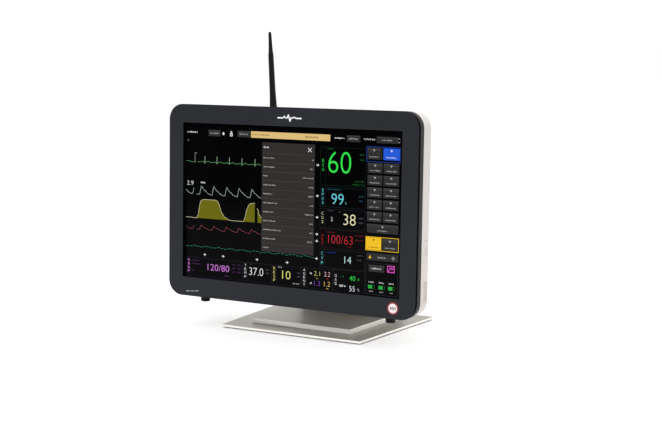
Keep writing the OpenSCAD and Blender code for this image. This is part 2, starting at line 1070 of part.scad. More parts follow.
module usb_ports() {
    tongue_in = 2;
    tongue_h = 1.5;
    color([0.65, 0.66, 0.67])
        head_frame()
            for (i = [0 : usb_n - 1])
                union() {
                    port_shell(usb_x + i * usb_pitch, usb_w, usb_h);
                    port_box(usb_x + tongue_in + i * usb_pitch, usb_w - 2 * tongue_in, tongue_h,
                        port_y + 2, io_back);
                }
}

module lan_ports() {
    jack_in = 2;
    jack_h = 8.4;
    latch_in = 5.5;
    latch_low = 5.8;
    color([0.62, 0.63, 0.64])
        head_frame()
            for (i = [0 : lan_n - 1])
                let (x = lan_x + i * lan_pitch)
                    difference() {
                        port_box(x, lan_w, lan_h, port_y, port_end);
                        port_box(x + jack_in, lan_w - 2 * jack_in, jack_h, port_y + 3, port_end + over);
                        block(x + latch_in, x + lan_w - latch_in, port_y + 3, port_end + over,
                            io_z - latch_low, io_z);
                    }
}

module video_port() {
    tongue_in = 2;
    tongue_h = 1.4;
    color([0.60, 0.61, 0.62])
        head_frame()
            union() {
                port_shell(video_x, video_w, video_h);
                port_box(video_x + tongue_in, video_w - 2 * tongue_in, tongue_h, port_y + 2, io_back);
            }
}

module serial_ports() {
    pin_in = 3;
    pin_h = 5.2;
    color([0.66, 0.67, 0.68])
        head_frame()
            for (i = [0 : serial_n - 1])
                union() {
                    port_shell(serial_x + i * serial_pitch, serial_w, serial_h);
                    port_box(serial_x + pin_in + i * serial_pitch, serial_w - 2 * pin_in, pin_h,
                        port_y + 2, io_back + trim);
                }
}

module dc_inlet() {
    bore_r = 3;
    pin_r = 1;
    color([0.08, 0.08, 0.08])
        head_frame()
            union() {
                difference() {
                    rod_y(inlet_r, port_y, port_end, inlet_x, io_z);
                    rod_y(bore_r, port_y + 2, port_end + over, inlet_x, io_z);
                }
                rod_y(pin_r, port_y + 1, io_back, inlet_x, io_z);
            }
}

// ---- side pieces ----

module speakers() {
    body = [12, 13, 38];
    cone = [5.3, 11, 34];
    body_x = 213;
    color([0.10, 0.10, 0.10])
        head_frame()
            for (s = [-1, 1])
                mirror([s < 0 ? 1 : 0, 0, 0])
                    union() {
                        translate([body_x, grille_y - body.y / 2, grille_z - body.z / 2])
                            cube(body);
                        translate([body_x + body.x - eps, grille_y - cone.y / 2, grille_z - cone.z / 2])
                            cube(cone);
                    }
}

module speaker_grilles() {
    rows = 11;
    inner = side_x - 2.2;
    outer = side_x - 0.4;
    color([0.80, 0.78, 0.75])
        head_frame()
            for (s = [-1, 1])
                mirror([s < 0 ? 1 : 0, 0, 0])
                    difference() {
                        grille_window(-screw_gap, inner, outer);
                        for (j = [0 : rows - 1])
                            for (i = [-2 : 2])
                                if (j % 2 == 0 || i < 2)
                                    rod_x(grille_hole, inner - over, outer + over,
                                        grille_y + (i + (j % 2) * 0.5) * grille_pitch * 0.85,
                                        grille_z + (j - (rows - 1) / 2) * grille_pitch);
                    }
}

module sounder() {
    can_r = 7.5;
    can_t = 8.4;
    wall_x = side_x - wall - 0.6;
    color([0.07, 0.07, 0.07])
        head_frame()
            rod_x(can_r, wall_x - can_t, wall_x, sound_y, sound_z);
}

module status_led() {
    color([0.10, 0.35, 0.12])
        head_frame()
            rod_x(led_r, side_x - wall - 2, side_x - 0.2, led_y, led_z);
}

module power_button() {
    proud = 0.7;
    rim = 1.2;
    wall_x = -side_x + wall;
    color([0.30, 0.31, 0.33])
        head_frame()
            union() {
                rod_x(button_r, -side_x - proud, wall_x + 1, button_y, button_z);
                rod_x(button_r + rim, wall_x + 0.6, wall_x + 2, button_y, button_z);
            }
}

module button_switch() {
    x0 = -side_x + wall + 3.4;
    plunger_r = 1.6;
    plunger_l = 1.5;
    can = [3.6, 6, 6];
    board = [1.4, 14, 28];
    color([0.15, 0.15, 0.16])
        head_frame()
            union() {
                rod_x(plunger_r, x0, x0 + plunger_l, button_y, button_z);
                translate([x0 + plunger_l - 0.1, button_y - can.y / 2, button_z - can.z / 2])
                    cube(can);
                translate([x0 + plunger_l - 0.1 + can.x - eps, button_y - board.y / 2,
                    button_z - board.z / 2])
                    cube(board);
            }
}

module bumper_feet() {
    tread = 1;
    taper = 1.2;
    color([0.05, 0.05, 0.05])
        head_frame()
            for (sx = [-1, 1])
                translate([sx * foot_x, bump_y, bump_low])
                    union() {
                        cylinder(r = bump_r, h = bump_top - bump_low);
                        translate([0, 0, -tread])
                            cylinder(r1 = bump_r - taper, r2 = bump_r, h = tread + eps);
                    }
}

module case_screws() {
    color([0.50, 0.50, 0.52])
        head_frame()
            boss_spots()
                translate([0, rear_d - case_screw_sink, 0])
                    rotate([-90, 0, 0])
                        pan_screw(screw_r, case_head_r, case_head_t,
                            rear_d - case_screw_sink - band_d + case_bite);
}

module round_label() {
    color([0.90, 0.88, 0.86])
        head_frame()
            rod_y(label_r, 0, label_t, label_x, label_z);
}

// ---- antenna ----

plug_r = 3;
nut_ac = 5.2;
nut_h = 2.2;

module antenna_connector() {
    flange_r = 5;
    inner = rear_d - wall;
    tail = 6;
    color([0.78, 0.64, 0.30])
        head_frame()
            union() {
                rod_y(plug_r, inner - tail, ant_y - 6, ant_x, ant_z);
                rod_y(flange_r, inner - 2.2, inner - 0.05, ant_x, ant_z);
            }
}

module antenna_nut() {
    color([0.78, 0.64, 0.30])
        head_frame()
            translate([ant_x, rear_d, ant_z])
                rotate([-90, 0, 0])
                    difference() {
                        cylinder(r = nut_ac, h = nut_h, $fn = 6);
                        translate([0, 0, -over])
                            cylinder(r = plug_r + run_gap, h = nut_h + 2 * over);
                    }
}

module antenna_coax() {
    r = 0.9;
    cy = rear_d - wall - 9;
    plug_z = 224;
    color([0.12, 0.12, 0.12])
        head_frame()
            union() {
                rod_y(r, cy, rear_d - wall - 6, ant_x, ant_z);
                translate([ant_x, cy, plug_z])
                    cylinder(r = r, h = ant_z - plug_z);
                for (z = [plug_z, ant_z])
                    translate([ant_x, cy, z])
                        sphere(r = r);
                rod_y(r, chip_y + 3, cy, ant_x, plug_z);
            }
}

module ant_frame() {
    head_frame()
        translate([ant_x, ant_y, ant_z])
            rotate([0, -ant_lean, 0])
                children();
}

tongue = 2.9;
tongue_r = 5.4;
tongue_gap = 0.15;
pin_r = 1.5;

module antenna_knuckle() {
    back = rear_d + 2.5 - ant_y;
    fork = -5.6;
    color([0.06, 0.06, 0.06])
        ant_frame()
            difference() {
                union() {
                    rod_y(ant_r, back, fork);
                    for (s = [-1, 1])
                        mirror([s < 0 ? 1 : 0, 0, 0])
                            intersection() {
                                rod_y(ant_r, fork - 2.4, ant_r + over);
                                union() {
                                    rod_x(tongue_r, tongue + tongue_gap, ant_r, 0, 0);
                                    block(tongue + tongue_gap, ant_r, fork - 1.4, 0, -tongue_r, tongue_r);
                                }
                            }
                }
                rod_y(plug_r + run_gap, back - over, fork - 0.2);
                rod_x(pin_r + run_gap, -ant_r - over, ant_r + over);
            }
}

module antenna_pin() {
    color([0.6, 0.6, 0.6])
        ant_frame()
            rod_x(pin_r, -5.2, 5.2);
}

// Half outline of the whip about its length: a fat foot, a shoulder, a slim rod and a small tip
module whip_outline() {
    l = ant_l;
    sleeve = l - 123;
    rod_r = 5;
    tip_r = 2.6;
    polygon([[0, 9], [ant_r - trim, 9], [ant_r, 9 + trim], [ant_r, sleeve - 8], [ant_r - 0.2, sleeve],
        [rod_r, l - 100], [rod_r - 0.3, l - 72], [rod_r - 0.6, l - 36], [rod_r - 1.3, l - 33],
        [rod_r - 1.7, l - 26], [tip_r, l - 5], [tip_r, l - tip_r], [tip_r - 0.4, l - 1.2],
        [tip_r / 2, l - 0.35], [0, l]]);
}

module antenna_whip() {
    side = 5.2;
    color([0.05, 0.05, 0.05])
        ant_frame()
            difference() {
                union() {
                    rod_x(side, -tongue, tongue);
                    block(-tongue, tongue, -side, side, 0, 9 + trim);
                    rotate_extrude()
                        whip_outline();
                }
                rod_x(pin_r + run_gap, -ant_r - over, ant_r + over);
            }
}

base_pad();
base_plate();
stand_arm();
arm_screws();
hinge_bracket();
bracket_screws();
tilt_shaft();
shaft_nut();
hinge_caps();
friction_washers();
tilt_knuckle();
knuckle_screws();
vesa_plate();
vesa_screws();
rear_housing();
mid_frame();
front_bezel();
front_seal();
glass_gasket();
touch_glass();
lcd_panel();
backlight_unit();
panel_brackets();
chassis_plate();
standoffs();
main_board();
processor();
heat_sink();
memory_module();
radio_card();
storage_drive();
power_board();
io_board();
io_panel();
usb_ports();
lan_ports();
serial_ports();
video_port();
dc_inlet();
speakers();
speaker_grilles();
sounder();
status_led();
power_button();
button_switch();
bumper_feet();
case_screws();
round_label();
antenna_connector();
antenna_nut();
antenna_coax();
antenna_knuckle();
antenna_pin();
antenna_whip();
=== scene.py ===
import json
import math
import random

import bmesh
import bpy
from mathutils import Matrix, Vector


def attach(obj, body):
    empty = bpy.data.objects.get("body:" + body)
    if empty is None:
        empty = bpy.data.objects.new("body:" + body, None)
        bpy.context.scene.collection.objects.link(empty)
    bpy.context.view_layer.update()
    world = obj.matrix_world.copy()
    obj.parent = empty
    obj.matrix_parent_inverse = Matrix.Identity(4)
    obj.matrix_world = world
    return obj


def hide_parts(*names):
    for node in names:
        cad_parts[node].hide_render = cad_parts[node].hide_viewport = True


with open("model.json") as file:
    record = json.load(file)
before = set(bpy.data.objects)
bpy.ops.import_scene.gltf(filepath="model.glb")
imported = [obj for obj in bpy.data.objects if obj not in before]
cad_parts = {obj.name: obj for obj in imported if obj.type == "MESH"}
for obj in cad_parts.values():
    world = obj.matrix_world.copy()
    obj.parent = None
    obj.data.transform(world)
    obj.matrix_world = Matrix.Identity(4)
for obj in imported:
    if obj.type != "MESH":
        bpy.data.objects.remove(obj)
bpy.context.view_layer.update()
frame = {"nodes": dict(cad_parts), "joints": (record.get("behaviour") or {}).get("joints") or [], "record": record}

# ---------------------------------------------------------------- driving sizes, in millimetres

MM = 0.001
RANDOM = random.Random(7)

# Head: sizes across and up, and depths behind the bezel's face
BEZEL_W, BEZEL_H, BEZEL_R = 468, 321, 26
RIM_D = 1.9
LIP_D = 4.6
GLASS_Y = 6
SEAL_D = 6.1
BAND_D = 18.8
REAR_D = 50
HUMP_D = 66
HUMP_W, HUMP_Z0, HUMP_Z1, HUMP_R = 330, 36, 252, 20
CORNER_SHARE = 0.6
WALL = 2.6
OPEN_W, OPEN_H, OPEN_Z = 410.4, 258, 161.5
FRAME_W, FRAME_H = 432, 281

# What is let into the housing
SIDE_X = BEZEL_W / 2 - 1.5
GRILLE_Y, GRILLE_Z, GRILLE_W, GRILLE_H = 35, 42, 13.5, 36
SOUND_Y, SOUND_Z, SOUND_PITCH, SOUND_R = 34.5, 105, 4.6, 1.0
LED_Z, LED_R = 122, 1.3
BUTTON_Y, BUTTON_Z, BUTTON_R = 32, 76, 6
IO_W, IO_H, IO_Z = 244, 26, 66
INLET_AT = (98, 64.8, 66)
SCREW_X, SCREW_INSET, SCREW_R = 219, 16, 3.2
FOOT_X, FOOT_Y = 177, 27
WIDE_VENTS, NARROW_VENTS, VENT_PITCH, VENT_HALF = 23, 9, 8, 1.6
HUMP_VENTS_Z = (HUMP_Z1 - 34, HUMP_Z1 - 14)
TOP_VENTS_Z = (262, 272)
UNDER_VENTS_Y, UNDER_VENTS_Z = (31, 40), (-1, 6)

# Antenna
ANTENNA_X, ANTENNA_Z, ANTENNA_HOLE_R = -65.4, 285, 3.1
WHIP_L, WHIP_R = 157.3, 6.3

# Stand
BASE_WF, BASE_WB, BASE_D, BASE_T, PAD_T = 263.7, 292.6, 229.7, 4.2, 1.5
FOOT_WF, FOOT_WB, ARM_T, BEND_R, ARM_LEAN = 188.5, 203.6, 8.2, 20, 32
FOOT_BACK, BEND_Y, UPRIGHT_L, UPRIGHT_W, UPRIGHT_R = 35, 70, 206, 120, 14
PLATE_BEVEL, ARM_BEVEL, PAD_BEVEL, PAD_INSET = 0.7, 0.8, 0.3, 4

# The first step of a rounded bevel, as a share of its width
EASE = 0.3
# How far a cutting shape runs past the wall that it cuts
REACH = 1
# Angles in degrees from which an edge is drawn sharp
SHARP, HOUSING_SHARP = 32, 30
# A face is part of an edge when the cosine between it and the broad face is below this. The bezel's edge faces get
# a near-black painted shade, the base plate's edge faces a near-white painted reflection
BEZEL_EDGE, PLATE_EDGE = 0.75, 0.9
# A face of the bent plate is on its side or front when that part of its normal is above this; these faces get the
# near-white painted reflection
ARM_EDGE = 0.3

# The head's own axes (x across, y depth behind the bezel's face, z up) in the row's frame
inlet = next(m for m in frame["record"]["mounts"] if m["name"] == "dc_inlet")
depth_axis = Vector(inlet["axis"]).normalized()
up_axis = Vector((1, 0, 0)).cross(depth_axis)
HEAD = Matrix((Vector((1, 0, 0)), depth_axis, up_axis)).transposed().to_4x4()
HEAD.translation = Vector(inlet["pos_m"]) - HEAD.to_3x3() @ (Vector(INLET_AT) * MM)

# ---------------------------------------------------------------- camera and lights

CAMERA_AT = Vector((1.2145, -2.0450, 0.5048))
CAMERA_TURN = (math.radians(90 - 7.87), math.radians(0.12), math.radians(30.44))
LENS = 78.01
BACKDROP, ROOM = 1.16, 0.22
KEY_W, OVERHEAD_W = 36, 20


def linear(value):
    """One sRGB channel, 0 to 255, as linear light."""
    v = value / 255
    return v / 12.92 if v <= 0.04045 else ((v + 0.055) / 1.055) ** 2.4


def rgb(red, green, blue):
    return (linear(red), linear(green), linear(blue), 1)


def make_camera():
    data = bpy.data.cameras.new("camera")
    data.lens = LENS
    data.sensor_width = 36
    data.clip_end = 50
    camera = bpy.data.objects.new("camera", data)
    camera.location = CAMERA_AT
    camera.rotation_euler = CAMERA_TURN
    bpy.context.scene.collection.objects.link(camera)
    bpy.context.scene.camera = camera


def area_light(name, at, target, size, watts):
    data = bpy.data.lights.new(name, "AREA")
    data.shape = "RECTANGLE"
    data.size, data.size_y = size
    data.energy = watts
    lamp = bpy.data.objects.new(name, data)
    lamp.location = at
    lamp.rotation_euler = (Vector(target) - Vector(at)).to_track_quat("-Z", "Y").to_euler()
    bpy.context.scene.collection.objects.link(lamp)


def make_studio():
    """A bright backdrop, and a darker room on the viewer's side that lights but isn't seen."""
    scene = bpy.context.scene
    scene.view_settings.view_transform = "Standard"
    world = bpy.data.worlds.new("studio")
    world.use_nodes = True
    tree = world.node_tree
    coords = tree.nodes.new("ShaderNodeTexCoord")
    lean = tree.nodes.new("ShaderNodeVectorMath")
    lean.operation = "DOT_PRODUCT"
    lean.inputs[1].default_value = (0.0, 0.72, 0.69)
    tree.links.new(coords.outputs["Generated"], lean.inputs[0])
    tone = tree.nodes.new("ShaderNodeMapRange")
    tone.interpolation_type = "SMOOTHSTEP"
    tone.inputs["From Min"].default_value = -0.75
    tone.inputs["From Max"].default_value = 0.15
    tone.inputs["To Min"].default_value = ROOM
    tone.inputs["To Max"].default_value = BACKDROP
    tree.links.new(lean.outputs["Value"], tone.inputs["Value"])
    seen = tree.nodes.new("ShaderNodeLightPath")
    strength = tree.nodes.new("ShaderNodeMix")
    strength.inputs["B"].default_value = BACKDROP
    tree.links.new(seen.outputs["Is Camera Ray"], strength.inputs["Factor"])
    tree.links.new(tone.outputs["Result"], strength.inputs["A"])
    tree.links.new(strength.outputs["Result"], tree.nodes["Background"].inputs["Strength"])
    tree.nodes["Background"].inputs["Color"].default_value = (1, 1, 1, 1)
    scene.world = world
    area_light("key", (0.3, -2.1, 2.2), (0, 0, 0.2), (1.6, 1.6), KEY_W)
    area_light("overhead", (0.2, 0.6, 2.6), (0, 0, 0), (2.0, 2.0), OVERHEAD_W)


# ---------------------------------------------------------------- materials

MATERIALS = {}


def new_material(name):
    material = bpy.data.materials.new(name)
    material.use_nodes = True
    MATERIALS[name] = material
    return material, material.node_tree, material.node_tree.nodes["Principled BSDF"]


def noise(tree, scale, detail=4.0, stretch=(1, 1, 1)):
    coords = tree.nodes.new("ShaderNodeTexCoord")
    mapping = tree.nodes.new("ShaderNodeMapping")
    mapping.inputs["Scale"].default_value = stretch
    texture = tree.nodes.new("ShaderNodeTexNoise")
    texture.inputs["Scale"].default_value = scale
    texture.inputs["Detail"].default_value = detail
    tree.links.new(coords.outputs["Object"], mapping.inputs["Vector"])
    tree.links.new(mapping.outputs["Vector"], texture.inputs["Vector"])
    return texture.outputs["Fac"]


def ramp(tree, source, low, high, start=0.3, end=0.7):
    node = tree.nodes.new("ShaderNodeValToRGB")
    node.color_ramp.elements[0].position = start
    node.color_ramp.elements[0].color = low
    node.color_ramp.elements[1].position = end
    node.color_ramp.elements[1].color = high
    tree.links.new(source, node.inputs["Fac"])
    return node.outputs["Color"]


def shade(colour, factor):
    return tuple(c * factor for c in colour[:3]) + (1,)


def map_range(tree, source, low, high):
    node = tree.nodes.new("ShaderNodeMapRange")
    node.inputs["To Min"].default_value = low
    node.inputs["To Max"].default_value = high
    tree.links.new(source, node.inputs["Value"])
    return node.outputs["Result"]


def surface(name, colour, rough, vary=0.12, grain=900, bump=0.03, metal=0.0, specular=0.5,
            stretch=(1, 1, 1), coat=0.0):
    """A moulded or metal surface: slow tone changes, and a fine grain in its gloss and relief."""
    material, tree, shader = new_material(name)
    slow = noise(tree, 9)
    fine = noise(tree, grain, 6.0, stretch)
    tone = ramp(tree, slow, shade(colour, 1 - vary), shade(colour, 1 + vary))
    tree.links.new(tone, shader.inputs["Base Color"])
    tree.links.new(map_range(tree, fine, rough * 0.85, rough * 1.15), shader.inputs["Roughness"])
    relief = tree.nodes.new("ShaderNodeBump")
    relief.inputs["Strength"].default_value = bump
    relief.inputs["Distance"].default_value = 0.0003
    tree.links.new(fine, relief.inputs["Height"])
    tree.links.new(relief.outputs["Normal"], shader.inputs["Normal"])
    shader.inputs["Metallic"].default_value = metal
    shader.inputs["Specular IOR Level"].default_value = specular
    shader.inputs["Coat Weight"].default_value = coat
    return material


def lit(name, colour, strength=1.0):
    """A lit patch of the picture: its own light with a faint pixel grain over it."""
    material, tree, shader = new_material(name)
    tone = ramp(tree, noise(tree, 1500, 2.0), shade(colour, 0.9), colour, 0.35, 0.65)
    tree.links.new(tone, shader.inputs["Emission Color"])
    shader.inputs["Emission Strength"].default_value = strength
    shader.inputs["Base Color"].default_value = (0, 0, 0, 1)
    shader.inputs["Roughness"].default_value = 0.3
    shader.inputs["Specular IOR Level"].default_value = 0.08


def make_materials():
    surface("bezel_charcoal", rgb(26, 28, 33), 0.42, grain=1400, bump=0.05, specular=0.2)
    surface("band_grey", rgb(48, 48, 49), 0.42, grain=1200, bump=0.04, specular=0.05)
    # Near-black with no reflection at all: partly the real black rubber seal, partly painted shade for the groove
    # between bezel and band
    surface("seal_rubber", rgb(3, 3, 3), 0.7, bump=0.08, specular=0.0)
    # Near-black for the bezel's rim and side faces: painted shade, the rim's shadowed fillet drawn dark
    surface("rim_painted_shade", rgb(4, 4, 5), 0.6, bump=0.04, specular=0.01)
    surface("pale_housing", rgb(194, 189, 184), 0.45, vary=0.02, grain=1600, bump=0.08)
    surface("brushed_plate", rgb(152, 149, 141), 0.42, vary=0.05, grain=240, bump=0.05, metal=0.55,
            stretch=(1, 12, 12))
    # Near-white for the plates' edge faces: a painted reflection of the bright floor, with a little real metal
    # gloss on top
    surface("edge_painted_reflection", rgb(246, 243, 237), 0.25, vary=0.03, grain=500, bump=0.03, metal=0.3)
    surface("screw_steel", rgb(176, 177, 180), 0.3, vary=0.08, grain=600, metal=1.0)
    surface("dark_metal", rgb(42, 43, 46), 0.45, grain=1200, bump=0.06)
    surface("dark_plastic", rgb(30, 31, 33), 0.5, grain=1200, bump=0.05)
    surface("bronze", rgb(150, 122, 84), 0.4, metal=1.0)
    surface("tray_metal", rgb(190, 192, 195), 0.36, grain=500, metal=1.0, stretch=(1, 1, 8))
    surface("light_guide", rgb(225, 227, 230), 0.3, vary=0.03)
    surface("brass", rgb(214, 178, 96), 0.28, metal=1.0)
    surface("board_green", rgb(28, 96, 58), 0.35, grain=300, coat=0.3)
    surface("heat_sink", rgb(190, 192, 196), 0.35, metal=1.0, grain=500)
    surface("port_metal", rgb(188, 190, 194), 0.22, metal=1.0, grain=500)
    surface("foot_rubber", rgb(12, 12, 13), 0.6, bump=0.1, specular=0.2)
    surface("pad_rubber", rgb(26, 26, 27), 0.75, grain=700, bump=0.15)
    surface("label_white", rgb(226, 214, 214), 0.4, vary=0.02)
    surface("label_red", rgb(140, 34, 50), 0.4, vary=0.05)
    surface("print_white", rgb(236, 236, 238), 0.4, vary=0.02)
    surface("print_grey", rgb(150, 151, 154), 0.4, vary=0.04)
    surface("antenna_black", rgb(10, 10, 11), 0.4, bump=0.04, specular=0.16)
    surface("lcd_black", rgb(6, 6, 8), 0.2, vary=0.2, specular=0.1)
    surface("screen_glass", rgb(2, 2, 3), 0.1, vary=0.2, grain=60, bump=0.0, specular=0.03)
    lit("led_lens", rgb(40, 110, 50), 0.5)


# ---------------------------------------------------------------- mesh helpers

def place(point, matrix=None):
    return (matrix or HEAD) @ (Vector(point) * MM)


def outward_mesh(name, verts, faces):
    """Mesh data from points in metres, with its faces turned outward."""
    data = bpy.data.meshes.new(name)
    data.from_pydata([tuple(v) for v in verts], [], faces)
    made = bmesh.new()
    made.from_mesh(data)
    bmesh.ops.recalc_face_normals(made, faces=made.faces)
    made.to_mesh(data)
    made.free()
    return data


def mesh_piece(name, verts, faces, body, slot, material=None):
    """One mesh object, smooth except at its sharp edges, that rides on a CAD body."""
    data = outward_mesh(name, verts, faces)
    data.materials.append(MATERIALS[material or slot])
    finish_shading(data, SHARP)
    piece = bpy.data.objects.new(name, data)
    bpy.context.scene.collection.objects.link(piece)
    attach(piece, body)
    even_normals(piece)
    return piece


def even_normals(piece):
    """Broad flat faces keep their own shading where they meet a fine rounded edge."""
    weighted = piece.modifiers.new("even normals", "WEIGHTED_NORMAL")
    weighted.keep_sharp = True
    weighted.weight = 80


def paint_faces(piece, material, chosen):
    """Gives the faces that `chosen` picks a second material."""
    piece.data.materials.append(MATERIALS[material])
    for face in piece.data.polygons:
        face.material_index = int(chosen(face))


def finish_shading(data, angle):
    for face in data.polygons:
        face.use_smooth = True
    data.set_sharp_from_angle(angle=math.radians(angle))


def rounded_loop(width, height, radius, y, centre_z, steps=10):
    """A rounded rectangle in the head's XZ plane, as points going round."""
    points = []
    for quarter, (sx, sz) in enumerate(((1, 1), (-1, 1), (-1, -1), (1, -1))):
        cx = sx * (width / 2 - radius)
        cz = centre_z + sz * (height / 2 - radius)
        for i in range(steps + 1):
            turn = math.radians(90 * (quarter + i / steps))
            points.append((cx + radius * math.cos(turn), y, cz + radius * math.sin(turn)))
    return points


def bezel_loop(inset, y):
    """The head's outline, drawn in by `inset` with its corners a little less."""
    radius = max(BEZEL_R - inset * CORNER_SHARE, 2)
    return rounded_loop(BEZEL_W - 2 * inset, BEZEL_H - 2 * inset, radius, y, BEZEL_H / 2)


def loft(loops, closed=False, cap_first=False, cap_last=False):
    """Points and faces of a skin through loops that have the same number of points."""
    count = len(loops[0])
    verts = [p for loop in loops for p in loop]
    faces = []
    rows = len(loops) if closed else len(loops) - 1
    for row in range(rows):
        a, b = row * count, ((row + 1) % len(loops)) * count
        for i in range(count):
            j = (i + 1) % count
            faces.append((a + i, a + j, b + j, b + i))
    if cap_first:
        faces.append(tuple(range(count)))
    if cap_last:
        last = (len(loops) - 1) * count
        faces.append(tuple(range(last, last + count)))
    return verts, faces


def loft_piece(name, loops, body, slot, **options):
    closed = options.pop("closed", False)
    cap_first = options.pop("cap_first", False)
    cap_last = options.pop("cap_last", False)
    matrix = options.pop("matrix", None)
    verts, faces = loft(loops, closed, cap_first, cap_last)
    return mesh_piece(name, [place(v, matrix) for v in verts], faces, body, slot, **options)


def lathe_loops(profile, steps=40):
    """Loops of a turned shape about z from (radius, height) pairs."""
    loops = []
    for radius, height in profile:
        loops.append([(radius * math.cos(2 * math.pi * i / steps),
                       radius * math.sin(2 * math.pi * i / steps), height) for i in range(steps)])
    return loops


def box_mesh(verts, faces, low, high):
    base = len(verts)
    for x in (low[0], high[0]):
        for y in (low[1], high[1]):
            for z in (low[2], high[2]):
                verts.append((x, y, z))
    for face in ((0, 1, 3, 2), (4, 6, 7, 5), (0, 4, 5, 1), (2, 3, 7, 6), (0, 2, 6, 4), (1, 5, 7, 3)):
        faces.append(tuple(base + i for i in face))


def rod_mesh(verts, faces, axis, radius, start, end, at, steps):
    """A prism with a round section along x or y, through the point `at` in the other two axes."""
    base = len(verts)
    for along in (start, end):
        for i in range(steps):
            a = radius * math.cos(2 * math.pi * i / steps)
            b = radius * math.sin(2 * math.pi * i / steps)
            if axis == "x":
                verts.append((along, at[0] + a, at[1] + b))
            else:
                verts.append((at[0] + a, along, at[1] + b))
    for i in range(steps):
        j = (i + 1) % steps
        faces.append((base + i, base + j, base + steps + j, base + steps + i))
    faces.append(tuple(base + i for i in range(steps)))
    faces.append(tuple(base + steps + i for i in range(steps)))


# ---------------------------------------------------------------- head shells

def make_bezel():
    rim = [(1.6, LIP_D), (1.6, RIM_D + 0.3), (0.5, RIM_D), (0.1, RIM_D - 0.2), (0, RIM_D - 0.5),
           (0, 1.1), (0.09, 0.68), (0.32, 0.32), (0.68, 0.09), (1.1, 0), (2.4, 0)]
    loops = [bezel_loop(inset, y) for inset, y in rim]
    inner = [(1.0, 0), (0.62, 0.06), (0.26, 0.28), (0.1, 0.7), (0.05, 5.2)]
    for grow, y in inner:
        loops.append(rounded_loop(OPEN_W + 2 * grow, OPEN_H + 2 * grow, 1.5 + grow, y, OPEN_Z))
    back = [(4, 5.2), (5, LIP_D)]
    for grow, y in back:
        loops.append(rounded_loop(OPEN_W + 2 * grow, OPEN_H + 2 * grow, 3, y, OPEN_Z))
    piece = loft_piece("bezel_shell", loops, "head", "bezel_charcoal", closed=True)
    # The rim and opening faces that don't face forward take the near-black painted shade
    paint_faces(piece, "rim_painted_shade", lambda face: abs(face.normal.dot(depth_axis)) < BEZEL_EDGE)
    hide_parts("front_bezel")


def make_seal():
    profile = [(9, LIP_D), (1.7, LIP_D), (1.7, RIM_D + 0.4), (0.9, RIM_D + 0.1), (0.55, RIM_D + 0.5),
               (0.5, SEAL_D - 0.7), (0.9, SEAL_D - 0.15), (1.6, SEAL_D), (9, SEAL_D)]
    loops = [bezel_loop(inset, y) for inset, y in profile]
    # The seal bead takes the unreflecting near-black, which also serves as painted shade in the groove
    piece = loft_piece("seal_bead", loops, "head", "seal_rubber", closed=True)
    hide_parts("front_seal")


def make_band():
    rim = [(1.4, SEAL_D), (0.8, SEAL_D + 0.15), (0.45, SEAL_D + 0.6), (0.4, SEAL_D + 1.3),
           (0.4, BAND_D - 1.7), (0.6, BAND_D - 1.2), (1.2, BAND_D - 0.9), (2.6, BAND_D - 0.8),
           (2.6, BAND_D)]
    loops = [bezel_loop(inset, y) for inset, y in rim]
    loops.append(rounded_loop(FRAME_W, FRAME_H, 3, BAND_D, OPEN_Z))
    loops.append(rounded_loop(FRAME_W, FRAME_H, 3, SEAL_D, OPEN_Z))
    piece = loft_piece("band_shell", loops, "head", "band_grey", closed=True)
    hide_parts("mid_frame")


def fillet(inset, y_end, radius, steps=7):
    """Insets and depths round a rear edge, from the flat side to the rear face."""
    points = []
    for i in range(steps + 1):
        turn = math.radians(90 * i / steps)
        points.append((inset + radius * (1 - math.cos(turn)), y_end - radius * (1 - math.sin(turn))))
    return points


def hump_loop(inset, y):
    """The rear hump's outline, drawn in by `inset`."""
    height = HUMP_Z1 - HUMP_Z0 - 2 * inset
    radius = HUMP_R - inset * CORNER_SHARE
    return rounded_loop(HUMP_W - 2 * inset, height, radius, y, (HUMP_Z0 + HUMP_Z1) / 2)


def housing_loops():
    inner = [hump_loop(WALL + 3, HUMP_D - WALL), hump_loop(WALL, HUMP_D - WALL - 4),
             hump_loop(WALL, REAR_D - WALL), bezel_loop(9, REAR_D - WALL),
             bezel_loop(1.6 + WALL, REAR_D - WALL - 6), bezel_loop(1.5 + WALL, BAND_D + 0.05)]
    outer = [bezel_loop(2.5, BAND_D + 0.05), bezel_loop(1.75, BAND_D + 0.2), bezel_loop(1.5, BAND_D + 0.7),
             bezel_loop(1.5, 30)]
    outer += [bezel_loop(inset, y) for inset, y in fillet(1.7, REAR_D, 8.5)]
    outer += [hump_loop(-1.2, REAR_D), hump_loop(-0.4, REAR_D + 0.4), hump_loop(0, REAR_D + 1.4)]
    outer += [hump_loop(inset, y) for inset, y in fillet(0.2, HUMP_D, 6)]
    return inner + outer


def vent_row(verts, faces, count, y, z):
    for i in range(count):
        x = (i - (count - 1) / 2) * VENT_PITCH
        box_mesh(verts, faces, (x - VENT_HALF, y[0], z[0]), (x + VENT_HALF, y[1], z[1]))


def rear_cuts(verts, faces):
    """The three rows of vents and the connector panel's opening."""
    hump_wall = (HUMP_D - WALL - REACH, HUMP_D + REACH)
    rear_wall = (REAR_D - WALL - REACH, REAR_D + REACH)
    vent_row(verts, faces, WIDE_VENTS, hump_wall, HUMP_VENTS_Z)
    vent_row(verts, faces, NARROW_VENTS, rear_wall, TOP_VENTS_Z)
    vent_row(verts, faces, WIDE_VENTS, UNDER_VENTS_Y, UNDER_VENTS_Z)
    box_mesh(verts, faces, (-IO_W / 2, hump_wall[0], IO_Z - IO_H / 2),
             (IO_W / 2, hump_wall[1], IO_Z + IO_H / 2))


